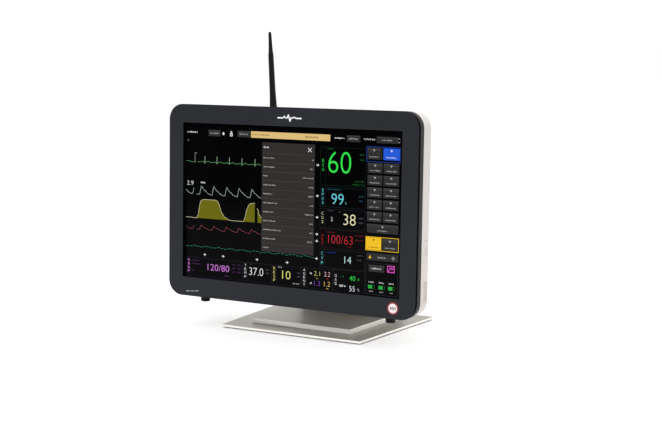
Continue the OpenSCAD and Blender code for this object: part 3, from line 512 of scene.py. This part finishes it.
def side_cuts(verts, faces):
    """Both speaker grilles, the sounder's holes and the light on the right, the button on the left."""
    for side in (-1, 1):
        xs = sorted((side * (SIDE_X - 7), side * (SIDE_X + 4)))
        box_mesh(verts, faces, (xs[0], GRILLE_Y - GRILLE_W / 2, GRILLE_Z - GRILLE_H / 2),
                 (xs[1], GRILLE_Y + GRILLE_W / 2, GRILLE_Z + GRILLE_H / 2))
    wall = (SIDE_X - 6, SIDE_X + 3)
    for column, row in ((0, 0), (0, 1), (0, -1), (1, 0.5), (1, -0.5), (-1, 0.5), (-1, -0.5),
                        (1, 1.5), (-1, -1.5)):
        at = (SOUND_Y + column * SOUND_PITCH * 0.72, SOUND_Z + row * SOUND_PITCH)
        rod_mesh(verts, faces, "x", SOUND_R, *wall, at, 12)
    rod_mesh(verts, faces, "x", LED_R, *wall, (SOUND_Y, LED_Z), 16)
    rod_mesh(verts, faces, "x", BUTTON_R + 0.15, -SIDE_X - 3, -SIDE_X + 6, (BUTTON_Y, BUTTON_Z), 32)


def small_recesses(verts, faces):
    """The antenna's hole, the case screws' recesses and the feet's sockets."""
    rod_mesh(verts, faces, "y", ANTENNA_HOLE_R, REAR_D - WALL - REACH, REAR_D + REACH,
             (ANTENNA_X, ANTENNA_Z), 24)
    for x in (-SCREW_X, SCREW_X):
        for z in (SCREW_INSET, BEZEL_H - SCREW_INSET):
            rod_mesh(verts, faces, "y", SCREW_R, REAR_D - 2.4, REAR_D + 3, (x, z), 24)
    for x in (-FOOT_X, FOOT_X):
        box_mesh(verts, faces, (x - 5, FOOT_Y - 5, -1), (x + 5, FOOT_Y + 5, 2.5))


def housing_cuts():
    verts, faces = [], []
    rear_cuts(verts, faces)
    side_cuts(verts, faces)
    small_recesses(verts, faces)
    return verts, faces


def make_housing():
    piece = loft_piece("housing_shell", housing_loops(), "head", "pale_housing",
                       cap_first=True, cap_last=True)
    verts, faces = housing_cuts()
    cutter = bpy.data.objects.new("cuts", outward_mesh("cuts", [place(v) for v in verts], faces))
    bpy.context.scene.collection.objects.link(cutter)
    cut = piece.modifiers.new("cuts", "BOOLEAN")
    cut.operation = "DIFFERENCE"
    cut.solver = "MANIFOLD"
    cut.object = cutter
    bake_modifiers(piece)
    bpy.data.objects.remove(cutter)
    finish_shading(piece.data, HOUSING_SHARP)
    even_normals(piece)
    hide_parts("rear_housing")


def bake_modifiers(piece):
    graph = bpy.context.evaluated_depsgraph_get()
    result = bpy.data.meshes.new_from_object(piece.evaluated_get(graph))
    piece.modifiers.clear()
    piece.data = result


# ---------------------------------------------------------------- stand

def plate_loops(width_front, width_back, depth, z0, z1, bevel):
    """Loops of a flat four-cornered plate with bevelled edges, in the row's frame."""
    loops = []
    eased = bevel * EASE
    for inset, z in ((bevel, z0), (eased, z0 + eased), (0, z0 + bevel), (0, z1 - bevel),
                     (eased, z1 - eased), (bevel, z1)):
        wf, wb, d = width_front / 2 - inset, width_back / 2 - inset, depth / 2 - inset
        loops.append([(-wf, -d, z), (wf, -d, z), (wb, d, z), (-wb, d, z)])
    return loops


def make_base():
    top = PAD_T + BASE_T
    loops = plate_loops(BASE_WF, BASE_WB, BASE_D, PAD_T, top, PLATE_BEVEL)
    plate = loft_piece("base_slab", loops, "stand", "brushed_plate", cap_first=True, cap_last=True,
                       matrix=Matrix.Identity(4))
    # The plate's side and bevel faces take the near-white painted reflection
    paint_faces(plate, "edge_painted_reflection", lambda face: abs(face.normal.z) < PLATE_EDGE)
    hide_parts("base_plate", "arm_screws")
    widths = (BASE_WF - 2 * PAD_INSET, BASE_WB - 2 * PAD_INSET, BASE_D - 2 * PAD_INSET)
    loops = plate_loops(*widths, 0, PAD_T, PAD_BEVEL)
    pad = loft_piece("base_sheet", loops, "stand", "pad_rubber", cap_first=True, cap_last=True,
                     matrix=Matrix.Identity(4))
    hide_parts("base_pad")


def arm_path():
    """Stations along the bent plate: inner point (y, z), outward direction (y, z) and half width."""
    low = PAD_T + BASE_T + ARM_T
    front = -BASE_D / 2 + FOOT_BACK
    stations = []
    flat_steps, bend_steps, rise_steps, round_steps = 8, 22, 8, 8
    for i in range(flat_steps + 1):
        t = i / flat_steps
        half = (FOOT_WF + (FOOT_WB - FOOT_WF) * t) / 2
        stations.append((front + (BEND_Y - front) * t, low, 0, -1, half))
    for i in range(1, bend_steps + 1):
        turn = math.radians(-90 + (90 + ARM_LEAN) * i / bend_steps)
        c, s = math.cos(turn), math.sin(turn)
        stations.append((BEND_Y + BEND_R * c, low + BEND_R + BEND_R * s, c, s, FOOT_WB / 2))
    y0, z0, c, s, half = stations[-1]
    straight = UPRIGHT_L - UPRIGHT_R
    for i in range(1, rise_steps + 1):
        t = i / rise_steps
        stations.append((y0 - s * straight * t, z0 + c * straight * t, c, s,
                         half + (UPRIGHT_W / 2 - half) * t))
    for i in range(1, round_steps + 1):
        turn = math.radians(90 * i / round_steps)
        d = straight + UPRIGHT_R * math.sin(turn)
        stations.append((y0 - s * d, z0 + c * d, c, s, UPRIGHT_W / 2 - UPRIGHT_R * (1 - math.cos(turn))))
    return stations


def make_arm():
    bevel = ARM_BEVEL
    eased = bevel * EASE
    left = [(bevel, 0), (eased, eased), (0, bevel), (0, ARM_T - bevel), (eased, ARM_T - eased),
            (bevel, ARM_T)]
    section = [(-1, *point) for point in left] + [(1, *point) for point in reversed(left)]
    stations = arm_path()
    y, z, ny, nz, half = stations[0]
    loops = []
    for back, trim in ((0, bevel), (eased, eased)):
        loops.append([(side * (half - max(inset, trim)), y + back, z - min(max(depth, trim), ARM_T - trim))
                      for side, inset, depth in section])
    for index, (y, z, ny, nz, half) in enumerate(stations):
        y += bevel if index == 0 else 0
        loops.append([(side * (half - inset), y + ny * depth, z + nz * depth)
                      for side, inset, depth in section])
    piece = loft_piece("arm_plate", loops, "stand", "brushed_plate", cap_first=True, cap_last=True,
                       matrix=Matrix.Identity(4))
    foot_top = (PAD_T + BASE_T + ARM_T) * MM
    # The bent plate's sides and the foot's front take the near-white painted reflection
    paint_faces(piece, "edge_painted_reflection", lambda face: abs(face.normal.x) > ARM_EDGE
                or face.normal.y < -ARM_EDGE and face.center.z < foot_top)
    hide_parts("stand_arm")


# ---------------------------------------------------------------- antenna and feet

def make_whip():
    fold = next(j for j in frame["joints"] if j["name"] == "antenna_fold")
    across = -Vector(fold["axis"]).normalized()
    rise = across.cross(depth_axis)
    matrix = Matrix((across, depth_axis, rise)).transposed().to_4x4()
    matrix.translation = Vector(fold["pos_m"])
    collar = [(0.01, 9), (WHIP_R - 0.5, 9), (WHIP_R, 9.6)]
    rod = [(WHIP_R, 131), (6.1, 123), (5.0, 100), (4.7, 72), (4.45, 40), (4.2, 36), (3.75, 34),
           (3.6, 32), (3.3, 26), (2.7, 7), (2.6, 3), (2.2, 1.3), (1.3, 0.35), (0.01, 0)]
    profile = collar + [(radius, WHIP_L - below) for radius, below in rod]
    verts, faces = loft(lathe_loops(profile), False, True, True)
    verts = list(verts)
    box_mesh(verts, faces, (-2.9, -4.6, 0), (2.9, 4.6, 9.3))
    rod_mesh(verts, faces, "x", 5.2, -2.9, 2.9, (0, 0), 32)
    piece = mesh_piece("whip_rod", [place(v, matrix) for v in verts], faces, "antenna", "antenna_black")
    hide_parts("antenna_whip")


def make_feet():
    low = -10
    profile = [(0.01, low - 1), (5.6, low - 1), (6.6, low - 0.8), (7.4, low - 0.1), (7.8, low + 0.8),
               (7.8, 2.6), (0.01, 2.6)]
    verts, faces = [], []
    for x in (-FOOT_X, FOOT_X):
        part, skin = loft(lathe_loops(profile), False, True, True)
        base = len(verts)
        verts += [(x + p[0], FOOT_Y + p[1], p[2]) for p in part]
        faces += [tuple(base + i for i in face) for face in skin]
    piece = mesh_piece("rubber_feet", [place(v) for v in verts], faces, "head", "foot_rubber")
    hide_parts("bumper_feet")


# ---------------------------------------------------------------- the lit picture

# Positions on the picture are millimetres right of and below its upper left corner.
PICTURE_X = -OPEN_W / 2
PICTURE_Z = OPEN_Z + OPEN_H / 2
INK_T = 0.06
# How far a digit's outline is drawn in, in units of its type size
STROKE_TRIM = 0.014
# The front of the first layer stands this many thicknesses of ink before the glass
FIRST_LAYER = 1.2

COLOURS = {
    "green": (46, 232, 74), "dim_green": (20, 92, 34), "trace_green": (104, 172, 106),
    "spike": (178, 226, 180), "cyan": (112, 220, 232), "dim_cyan": (28, 92, 106),
    "trace_cyan": (190, 214, 208), "cream": (240, 233, 186), "olive": (106, 104, 6),
    "red": (188, 38, 46), "dim_red": (104, 26, 32), "trace_red": (158, 78, 86), "teal": (46, 138, 116),
    "white": (238, 240, 242), "grey_text": (176, 174, 172), "dim_text": (74, 76, 84),
    "pale_cyan": (204, 240, 240), "magenta": (226, 136, 236), "dim_magenta": (84, 44, 96),
    "yellow": (236, 230, 128), "lime": (206, 210, 86), "pink": (236, 186, 196),
    "purple": (118, 66, 182), "orange": (232, 190, 100), "tan": (226, 193, 126),
    "tan_text": (92, 66, 34), "menu": (49, 44, 44), "menu_line": (76, 68, 68), "button": (47, 46, 46),
    "button_top": (58, 57, 57), "blue": (36, 92, 220), "blue_line": (30, 60, 150),
    "amber": (246, 196, 34), "amber_text": (120, 84, 14), "box_line": (38, 40, 46),
    "box_green": (14, 38, 20), "box_teal": (14, 40, 48), "box_red": (48, 14, 20),
    "box_magenta": (44, 26, 54), "battery": (42, 176, 66), "icon_magenta": (226, 84, 196),
}


class Picture:
    """Thin solid shapes of one colour each, collected and made into one piece per colour."""

    def __init__(self):
        self.parts = {}

    def add(self, colour, verts, faces):
        store = self.parts.setdefault(colour, ([], []))
        base = len(store[0])
        store[0].extend(verts)
        store[1].extend(tuple(base + i for i in face) for face in faces)

    def prism(self, colour, outline, layer=0):
        """A thin slab with this outline, a list of (right, down) points."""
        front = GLASS_Y - INK_T * (FIRST_LAYER + layer)
        count = len(outline)
        verts = [(PICTURE_X + u, y, PICTURE_Z - v) for y in (front, front + INK_T) for u, v in outline]
        faces = [tuple(range(count)), tuple(range(count, 2 * count))]
        for i in range(count):
            j = (i + 1) % count
            faces.append((i, j, count + j, count + i))
        self.add(colour, verts, faces)

    def rect(self, colour, left, top, right, bottom, layer=0):
        self.prism(colour, [(left, top), (right, top), (right, bottom), (left, bottom)], layer)

    def frame(self, colour, left, top, right, bottom, line):
        """The outline of a rectangle, with its line inside the given edges."""
        self.rect(colour, left, top, right, top + line)
        self.rect(colour, left, bottom - line, right, bottom)
        self.rect(colour, left, top, left + line, bottom)
        self.rect(colour, right - line, top, right, bottom)

    def line(self, colour, points, width=0.6, layer=0):
        """An open line of even width through the points."""
        for (u0, v0), (u1, v1) in zip(points, points[1:]):
            length = math.hypot(u1 - u0, v1 - v0)
            if length < 1e-6:
                continue
            nu, nv = (v0 - v1) / length * width / 2, (u1 - u0) / length * width / 2
            eu, ev = (u1 - u0) / length * width * 0.3, (v1 - v0) / length * width * 0.3
            self.prism(colour, [(u0 + nu - eu, v0 + nv - ev), (u1 + nu + eu, v1 + nv + ev),
                                (u1 - nu + eu, v1 - nv + ev), (u0 - nu - eu, v0 - nv - ev)], layer)

    def words(self, colour, left, top, right, height=2.0, layer=0):
        """Writing too small to read: short uneven strokes in groups."""
        u = left
        stroke = height * 0.22
        while u < right - stroke:
            tall = RANDOM.random() < 0.3
            low = top if tall else top + height * 0.28
            self.rect(colour, u, low, u + stroke, top + height, layer)
            if RANDOM.random() < 0.6:
                v = top + height * RANDOM.choice((0.3, 0.6, 0.82))
                self.rect(colour, u, v, min(u + height * 0.5, right), v + stroke, layer)
            gap = 0.95 if RANDOM.random() < 0.15 else 0.5
            u += height * gap

    def upright_label(self, colour, text, middle, top, bottom, width=3.5):
        """A short general term written downwards, one letter under the other."""
        pitch = (bottom - top) / len(text)
        for i, letter in enumerate(text):
            half = width * (0.25 if letter in "1I" else 0.5)
            v = top + pitch * i
            self.number(colour, letter, middle - half, v, middle + half, v + pitch * 0.66, 1)

    def number(self, colour, text, left, top, right, bottom, layer=0):
        """Digits drawn to fill the given box, with their strokes thinned a little."""
        curve = bpy.data.curves.new("digits", "FONT")
        curve.body = text
        curve.resolution_u = 4
        curve.offset = -STROKE_TRIM
        holder = bpy.data.objects.new("digits", curve)
        bpy.context.scene.collection.objects.link(holder)
        bpy.context.view_layer.update()
        graph = bpy.context.evaluated_depsgraph_get()
        flat = bpy.data.meshes.new_from_object(holder.evaluated_get(graph))
        made = bmesh.new()
        made.from_mesh(flat)
        bmesh.ops.remove_doubles(made, verts=made.verts, dist=1e-5)
        bmesh.ops.dissolve_limit(made, angle_limit=0.01, verts=made.verts, edges=made.edges)
        grown = bmesh.ops.extrude_face_region(made, geom=list(made.faces))
        lifted = {v for v in grown["geom"] if isinstance(v, bmesh.types.BMVert)}
        xs = [v.co.x for v in made.verts]
        ys = [v.co.y for v in made.verts]
        front = GLASS_Y - INK_T * (FIRST_LAYER + layer)
        made.verts.index_update()
        verts = []
        for v in made.verts:
            u = left + (v.co.x - min(xs)) / (max(xs) - min(xs)) * (right - left)
            w = bottom - (v.co.y - min(ys)) / (max(ys) - min(ys)) * (bottom - top)
            y = front if v in lifted else front + INK_T
            verts.append((PICTURE_X + u, y, PICTURE_Z - w))
        faces = [tuple(v.index for v in f.verts) for f in made.faces]
        self.add(colour, verts, faces)
        made.free()
        bpy.data.objects.remove(holder)

    def arrow(self, left, middle):
        """A small white arrow that points right."""
        self.rect("white", left - 2.6, middle - 0.5, left + 0.6, middle + 0.5)
        self.prism("white", [(left - 0.6, middle - 2.4), (left + 2.6, middle), (left - 0.6, middle + 2.4),
                             (left + 0.2, middle)])

    def build(self):
        for colour, (verts, faces) in sorted(self.parts.items()):
            name = "picture_" + colour
            lit(name, rgb(*COLOURS[colour]))
            mesh_piece(name, [place(v) for v in verts], faces, "head", "lcd_black", material=name)


def draw_top_row(p):
    p.words("white", 4, 14.2, 26, 2.4)
    p.words("grey_text", 5, 27.5, 8, 2.4)
    for left, right, top, bottom in ((47, 71, 11, 21), (105, 129, 10.5, 20.5), (310, 334, 10, 20),
                                     (363, 400, 10, 20)):
        button(p, left, top, right, bottom, icon=False)
    p.prism("white", [(74.5, 16.2), (77, 13.4), (79.5, 16.2), (77, 19)])
    p.frame("white", 90, 15, 95, 20, 1.3)
    p.frame("white", 91, 11.8, 94, 15.6, 0.9)
    p.rect("tan", 131, 10.2, 280, 20.6)
    p.words("tan_text", 134, 14, 166, 2.2, 1)
    p.words("tan_text", 234, 14, 259, 2.6, 1)
    p.words("white", 288, 13.6, 306, 2.4)
    p.words("white", 341, 13.2, 360, 2.6)
    p.line("grey_text", [(400.5, 13), (402, 11.6), (403.5, 13)], 0.7)
    p.line("grey_text", [(400.5, 17), (402, 18.4), (403.5, 17)], 0.7)


def button(p, left, top, right, bottom, colour="button", icon=True, text="grey_text"):
    """A raised button with a lighter top edge, a small icon and a line of tiny writing."""
    p.rect(colour, left, top, right, bottom)
    if colour == "button":
        p.rect("button_top", left, top, right, top + (bottom - top) * 0.28, 1)
    middle = (left + right) / 2
    half = min((right - left) * 0.34, 9)
    if icon:
        p.rect(text, middle - 1.8, top + 3.0, middle + 1.8, top + 4.2, 2)
        p.rect(text, middle - 0.6, top + 2.2, middle + 0.6, top + 5.6, 2)
        p.words(text, middle - half, bottom - 5.0, middle + half, 1.9, 2)
    else:
        p.words(text, middle - half, (top + bottom) / 2 - 1.2, middle + half, 2.4, 2)


def draw_menu(p):
    left, right, top, bottom = 153, 252.5, 27, 204
    p.rect("menu", left, top, right, bottom, 2)
    p.words("white", 156, 33.2, 167, 3.0, 3)
    p.line("white", [(240, 32.8), (246.4, 39)], 0.9, 3)
    p.line("white", [(246.4, 32.8), (240, 39)], 0.9, 3)
    rows = ((22, 3), (22, 6), (9, 20), (24, 9), (17, 9), (27, 7), (20, 15), (25, 7), (34, 6),
            (24, 10), (12, 0))
    pitch = 14.55
    for i, (first, last) in enumerate(rows):
        v = 50.6 + pitch * i
        p.words("grey_text", 156, v, 156 + first, 2.3, 3)
        if last:
            p.words("grey_text", 250.5 - last, v, 250.5, 2.3, 3)
        p.rect("menu_line", left + 1.5, v - pitch / 2 + 1.2, right - 1.5, v - pitch / 2 + 1.7, 3)


def draw_traces(p):
    beats = (40, 64.4, 89, 114, 139.3)
    baseline = 64.6
    points = [(2, baseline - 0.6), (6, baseline - 1.2), (9, baseline), (19.6, baseline + 0.8)]
    p.line("trace_green", points, 0.5)
    p.line("grey_text", [(20, baseline + 1.6), (20, 50), (23.4, 50), (23.4, 51)], 0.5)
    points = [(24.6, baseline)]
    for beat in beats:
        points += [(beat - 7, baseline), (beat - 4.6, baseline - 1.3), (beat - 2.6, baseline),
                   (beat + 2.4, baseline), (beat + 7, baseline - 1.8), (beat + 10.6, baseline)]
    points.append((151, baseline))
    p.line("trace_green", [q for q in points if q[0] <= 151], 0.5)
    for beat in beats:
        p.line("spike", [(beat, 55), (beat, baseline + 2.2)], 0.55)
    p.number("white", "2.9", 4, 97, 17, 104)
    p.words("white", 32, 97, 41, 3)
    wave(p, "trace_cyan", 104.6, 118.6, 0.5)
    wave(p, "trace_red", 170, 177.4, 0.45)
    draw_gas_curve(p)
    for u in range(3, 250, 7):
        v = 206 + 0.9 * math.sin(u * 0.26)
        p.line("teal", [(u, v - 0.4), (u + 2.4, v + 0.4), (u + 5, v)], 0.6)


def wave(p, colour, high, low, width):
    """Five pulses that jump up and die away, with a short break near the left."""
    drop = low - high
    p.line(colour, [(2, high + drop * 0.5), (7, high + drop * 0.8), (13, low), (16, low - drop * 0.1),
                    (18, high + drop * 0.3)], width)
    start = 24
    points = [(start, low)]
    for peak in (33.4, 58.6, 84.2, 108.8, 134):
        points += [(peak - 3.6, low), (peak - 1.6, high + drop * 0.35), (peak - 0.2, high),
                   (peak + 1.4, high + drop * 0.12), (peak + 5, high + drop * 0.45),
                   (peak + 8, high + drop * 0.55), (peak + 13, high + drop * 0.85),
                   (peak + 18, high + drop * 0.98)]
    p.line(colour, points, width)


def draw_gas_curve(p):
    base = 158.4
    hump = [(24.5, base), (27, 153), (29.5, 139), (32, 130), (35, 127.6), (40, 126.8), (62, 126.8),
            (66, 128), (69, 133), (74, 146), (80, 153.5), (88, 157.4), (92, base)]
    second = [(118, base), (121, 151), (124, 138.5), (128, 130.5), (132, 128), (139.6, 126.8)]
    third = [(145, 135), (148, 144), (153, 150.5)]
    p.prism("olive", hump)
    p.prism("olive", second + [(139.6, base)])
    p.prism("olive", third + [(153, base), (145.6, base)])
    p.line("cream", [(2, base - 0.6), (16, base - 0.2)] + hump + second, 0.5, 1)
    p.line("cream", third, 0.5, 1)


def draw_arrows(p):
    for left in (41, 78, 145, 203):
        p.arrow(left, 219)
    for middle in (59, 108, 142, 169, 180, 208):
        p.arrow(258, middle)


def cell(p, line, left, top, right, bottom, split=9.5):
    """A value cell: a thin outline, and a line beside the name that is written down its left side."""
    p.frame(line, left, top, right, bottom, 0.4)
    p.rect(line, left + split, top, left + split + 0.3, bottom)


def draw_values(p):
    cell(p, "box_green", 263, 30, 345, 90)
    p.upright_label("green", "ECG", 268, 49, 70)
    p.number("green", "60", 277.2, 36, 318.5, 70)
    p.words("dim_green", 276, 31.4, 286, 2)
    p.words("dim_green", 334, 38, 342, 2.6)
    p.words("dim_green", 334, 46, 342, 2.6)
    p.words("dim_green", 326, 80, 343, 2.4)
    p.words("dim_green", 321, 85, 343, 2.4)
    cell(p, "box_teal", 263, 93, 345, 124)
    p.upright_label("cyan", "SPO2", 268, 96, 122)
    p.number("cyan", "99", 284, 102.4, 306, 119.4)
    p.number("cyan", "%", 308.6, 114.6, 311.6, 118.2)
    p.words("dim_cyan", 276, 95, 302, 1.9)
    p.words("dim_cyan", 334, 103, 342, 2.6)
    p.words("dim_cyan", 334, 110, 342, 2.6)
    cell(p, "box_line", 263, 127, 345, 158)
    p.upright_label("cream", "CO2", 268, 132.6, 152.6)
    p.number("cream", "38", 306.4, 133.4, 328.2, 150.8)
    p.number("white", "2", 283.4, 140, 286.8, 146)
    p.words("dim_text", 277, 128.6, 288, 1.9)
    p.words("dim_text", 297, 130, 301, 2)
    p.words("dim_text", 334, 137.4, 342, 2.6)
    p.words("dim_text", 334, 144.4, 342, 2.6)
    cell(p, "box_red", 264, 160, 346, 189)
    p.upright_label("red", "ART", 268.6, 167, 188)
    p.number("red", "100/63", 279, 168, 323.6, 181.6)
    p.words("dim_red", 277, 163, 291, 1.9)
    p.words("dim_red", 314, 184, 322, 2.2)
    p.words("dim_red", 328, 165, 343, 2.6)
    p.words("dim_red", 328, 172, 343, 2.6)
    cell(p, "box_line", 264, 191.5, 346, 221)
    p.upright_label("cyan", "CVP", 268.6, 196, 219)
    p.number("pale_cyan", "14", 309.4, 200.2, 321.4, 211.4)
    p.words("blue_line", 278, 195, 293, 1.9)
    p.words("dim_text", 332, 196, 342, 2.2)
    p.words("dim_text", 332, 203, 340, 2.6)


def draw_bottom_row(p):
    cell(p, "box_magenta", 4, 225, 117, 257, 8)
    p.upright_label("magenta", "NIBP", 8.4, 228, 253)
    p.number("magenta", "120/80", 47, 234, 90.4, 244.6)
    p.words("dim_magenta", 15, 229, 30, 1.9)
    p.words("dim_magenta", 15, 234.6, 33, 1.9)
    p.words("dim_magenta", 15, 246, 20, 1.9)
    for left in (96, 107):
        for top in (230, 236, 242):
            p.words("dim_magenta", left, top, left + 6, 2.2)
    p.words("dim_magenta", 81, 250, 90, 2.4)
    cell(p, "box_line", 118.5, 225, 173, 257, 8)
    p.upright_label("white", "TEMP", 122.6, 228, 253)
    p.number("white", "37.0", 130, 232.8, 157.2, 245.4)
    p.words("dim_text", 132, 226.4, 136, 1.9)
    p.words("dim_text", 162, 232.6, 169, 2.4)
    p.words("dim_text", 162, 238.4, 169, 2.4)
    cell(p, "box_line", 174.5, 225, 229.5, 257, 8)
    p.upright_label("yellow", "RESP", 178.8, 228, 254)
    p.number("yellow", "10", 194, 232.8, 209.6, 246.2)
    p.words("grey_text", 186, 226.6, 194, 1.9)
    p.words("dim_text", 222, 233, 228, 2.4)
    p.words("dim_text", 222, 239, 228, 2.4)
    p.words("grey_text", 214, 250.4, 227, 2.6)
    cell(p, "box_line", 231, 224, 288.5, 257, 9)
    p.upright_label("white", "AGENT", 235.6, 226, 255.6)
    p.number("lime", "2.1", 254, 228.4, 264.8, 235.6)
    p.number("pink", "2.2", 272.8, 228, 283.8, 235.2)
    p.number("purple", "1.3", 254.4, 244, 265, 251.6)
    p.number("orange", "1.2", 272.8, 243.6, 283.8, 251.2)
    for top in (231, 247):
        p.words("white", 246.4, top, 250, 2.6)
    p.words("lime", 258, 239, 262, 1.6)
    p.words("red", 277, 238, 281, 1.6)
    p.words("orange", 277, 253.6, 281, 1.6)
    cell(p, "box_line", 289.5, 222, 346, 257, 9)
    p.upright_label("white", "GAS", 294, 230, 249)
    p.words("dim_green", 303, 230.6, 311, 3.2)
    p.number("green", "40", 319, 230.2, 329.4, 238)
    p.number("green", "%", 333.6, 233, 336.8, 237)
    p.words("white", 301, 245, 313, 3.8)
    p.number("white", "55", 319, 246.6, 329, 254.6)
    p.number("white", "%", 333.6, 249.6, 336.8, 253.6)


def draw_buttons(p):
    p.frame("blue_line", 345.6, 25.4, 405, 49.4, 0.9)
    button(p, 347.4, 27.4, 370.4, 45.4)
    p.rect("button", 371.4, 27.4, 373.4, 45.4)
    button(p, 375.4, 27.4, 403.8, 45.6, "blue", True, "white")
    for i in range(5):
        top = 51 + 18.9 * i
        button(p, 348.2, top, 374.2, top + 15.6)
        button(p, 376.4, top, 403.2, top + 15.6)
    button(p, 348.6, 145.6, 403.4, 159.6)
    p.frame("amber", 346.6, 165.4, 405, 187.4, 0.9)
    button(p, 347.8, 166.6, 374.4, 186, "amber", True, "amber_text")
    button(p, 376, 167.4, 403.4, 185.6)
    p.rect("button", 349, 191, 404.6, 202.6)
    p.prism("amber", [(352.6, 199.4), (355, 194.6), (357.4, 199.4)], 1)
    p.words("grey_text", 369, 196, 383, 2.4, 1)
    p.line("grey_text", [(393.6, 197.2), (396, 194.8), (398.4, 197.2), (396, 199.6), (393.6, 197.2)], 0.8, 1)
    p.frame("box_line", 348, 206.4, 404.6, 256.6, 0.7)
    button(p, 353, 209.6, 380.6, 220.4, icon=False, text="white")
    p.frame("icon_magenta", 385.8, 208.6, 398.8, 219.4, 1.3)
    p.line("icon_magenta", [(388, 217), (392, 211.4), (394, 214.6), (397, 211)], 1.3)
    for left in (352.4, 371, 388):
        p.words("white", left + 1, 235.6, left + 10, 2)
        p.rect("battery", left, 241.6, left + 7.4, 246.8)
        p.frame("dim_green", left, 241, left + 11.4, 247.4, 0.7)
        p.words("grey_text", left + 2, 250, left + 9, 2)


def make_picture():
    p = Picture()
    draw_top_row(p)
    draw_traces(p)
    draw_menu(p)
    draw_arrows(p)
    draw_values(p)
    draw_bottom_row(p)
    draw_buttons(p)
    p.build()


# ---------------------------------------------------------------- printed marks on the bezel

def print_strip(name, points, width, material):
    """A printed line on the bezel's face through (x, z) points."""
    verts, faces = [], []
    front, back = -0.05, 0.02
    for (x0, z0), (x1, z1) in zip(points, points[1:]):
        length = math.hypot(x1 - x0, z1 - z0)
        nx, nz = (z0 - z1) / length * width / 2, (x1 - x0) / length * width / 2
        ex, ez = (x1 - x0) / length * width * 0.3, (z1 - z0) / length * width * 0.3
        base = len(verts)
        for y in (front, back):
            verts += [(x0 + nx - ex, y, z0 + nz - ez), (x1 + nx + ex, y, z1 + nz + ez),
                      (x1 - nx + ex, y, z1 - nz + ez), (x0 - nx - ex, y, z0 - nz - ez)]
        for face in ((0, 1, 2, 3), (4, 5, 6, 7), (0, 1, 5, 4), (1, 2, 6, 5), (2, 3, 7, 6), (3, 0, 4, 7)):
            faces.append(tuple(base + i for i in face))
    mesh_piece(name, [place(v) for v in verts], faces, "head", "label_white", material=material)


def make_marks():
    beat = [(-20, 0), (-10, 0), (-7.5, 2.6), (-5, 0), (-2.5, 0), (0, 5), (3, -5), (5.4, 1.2), (8, 0),
            (11, 2), (14, 0), (24, 0)]
    print_strip("pulse_mark", [(x + 0.6, z + 304) for x, z in beat], 1.9, "print_white")
    dashes = [(-197, -191), (-188, -182), (-179, -173)]
    for i, (x0, x1) in enumerate(dashes):
        print_strip(f"dash_mark_{i}", [(x0, 8 + 0.09 * (x0 + 197)), (x1, 8 + 0.09 * (x1 + 197))], 1.4,
                    "print_grey")


def make_label():
    x, z, radius, band = 194.8, 17, 9.6, 2.1
    front, back = -0.12, 0.25

    def circle(r, y):
        return [(x + r * math.cos(math.radians(i * 7.5)), y, z + r * math.sin(math.radians(i * 7.5)))
                for i in range(48)]

    ring = [circle(radius, back), circle(radius, front + 0.08), circle(radius - 0.1, front),
            circle(radius - band, front), circle(radius - band, back)]
    loft_piece("label_ring", ring, "head", "label_white", closed=True, material="label_red")
    disc = [circle(radius - band - 0.05, y) for y in (back, front + 0.02)]
    face = loft_piece("label_disc", disc, "head", "label_white", cap_first=True, cap_last=True)
    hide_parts("round_label")
    verts, faces = [], []
    proud, sunk = front - 0.04, 0.1
    for x0, x1 in ((-4.6, -3.4), (-1.4, -0.2), (1.2, 2.4), (3.6, 4.8)):
        box_mesh(verts, faces, (x + x0, proud, z - 2.6), (x + x1, sunk, z + 2.6))
    box_mesh(verts, faces, (x - 4.6, proud, z - 0.6), (x - 0.2, sunk, z + 0.6))
    mesh_piece("label_bars", [place(v) for v in verts], faces, "head", "label_white",
               material="dark_plastic")


# ---------------------------------------------------------------- CAD nodes that stay

def dress_cad_nodes():
    """Every CAD node takes its slot's material, welded and with softened edges."""
    slots = {row["node"]: row["material_slot"] for row in frame["record"]["subparts"]}
    soft_edges = {"dark_metal": 0.35, "screw_steel": 0.2, "tray_metal": 0.2, "dark_plastic": 0.3,
                  "antenna_black": 0.3, "pale_housing": 0.12}
    other_edges = 0.15
    for name, node in frame["nodes"].items():
        node.data.materials.clear()
        node.data.materials.append(MATERIALS[slots[name]])
        for layer in [a.name for a in node.data.attributes if a.name == "custom_normal"]:
            node.data.attributes.remove(node.data.attributes[layer])
        for face in node.data.polygons:
            face.use_smooth = True
        weld = node.modifiers.new("weld", "WELD")
        weld.merge_threshold = 0.00001
        bevel = node.modifiers.new("soft edges", "BEVEL")
        bevel.width = soft_edges.get(slots[name], other_edges) * MM
        bevel.segments = 2
        bevel.limit_method = "ANGLE"
        bevel.angle_limit = math.radians(35)
        bevel.harden_normals = True
        bevel.use_clamp_overlap = True


# ---------------------------------------------------------------- floor

def make_floor():
    data = bpy.data.meshes.new("floor")
    side, front, back = 14, -2.4, 40
    corners = [(-side, front, 0), (side, front, 0), (side, back, 0), (-side, back, 0)]
    data.from_pydata(corners, [], [(0, 1, 2, 3)])
    data.materials.append(surface("floor_white", (0.92, 0.92, 0.92, 1), 0.9, vary=0.005, bump=0.0,
                                  specular=0.05))
    floor = bpy.data.objects.new("floor", data)
    bpy.context.scene.collection.objects.link(floor)


make_camera()
make_studio()
make_materials()
dress_cad_nodes()
make_bezel()
make_seal()
make_band()
make_housing()
make_base()
make_arm()
make_whip()
make_feet()
make_picture()
make_marks()
make_label()
make_floor()
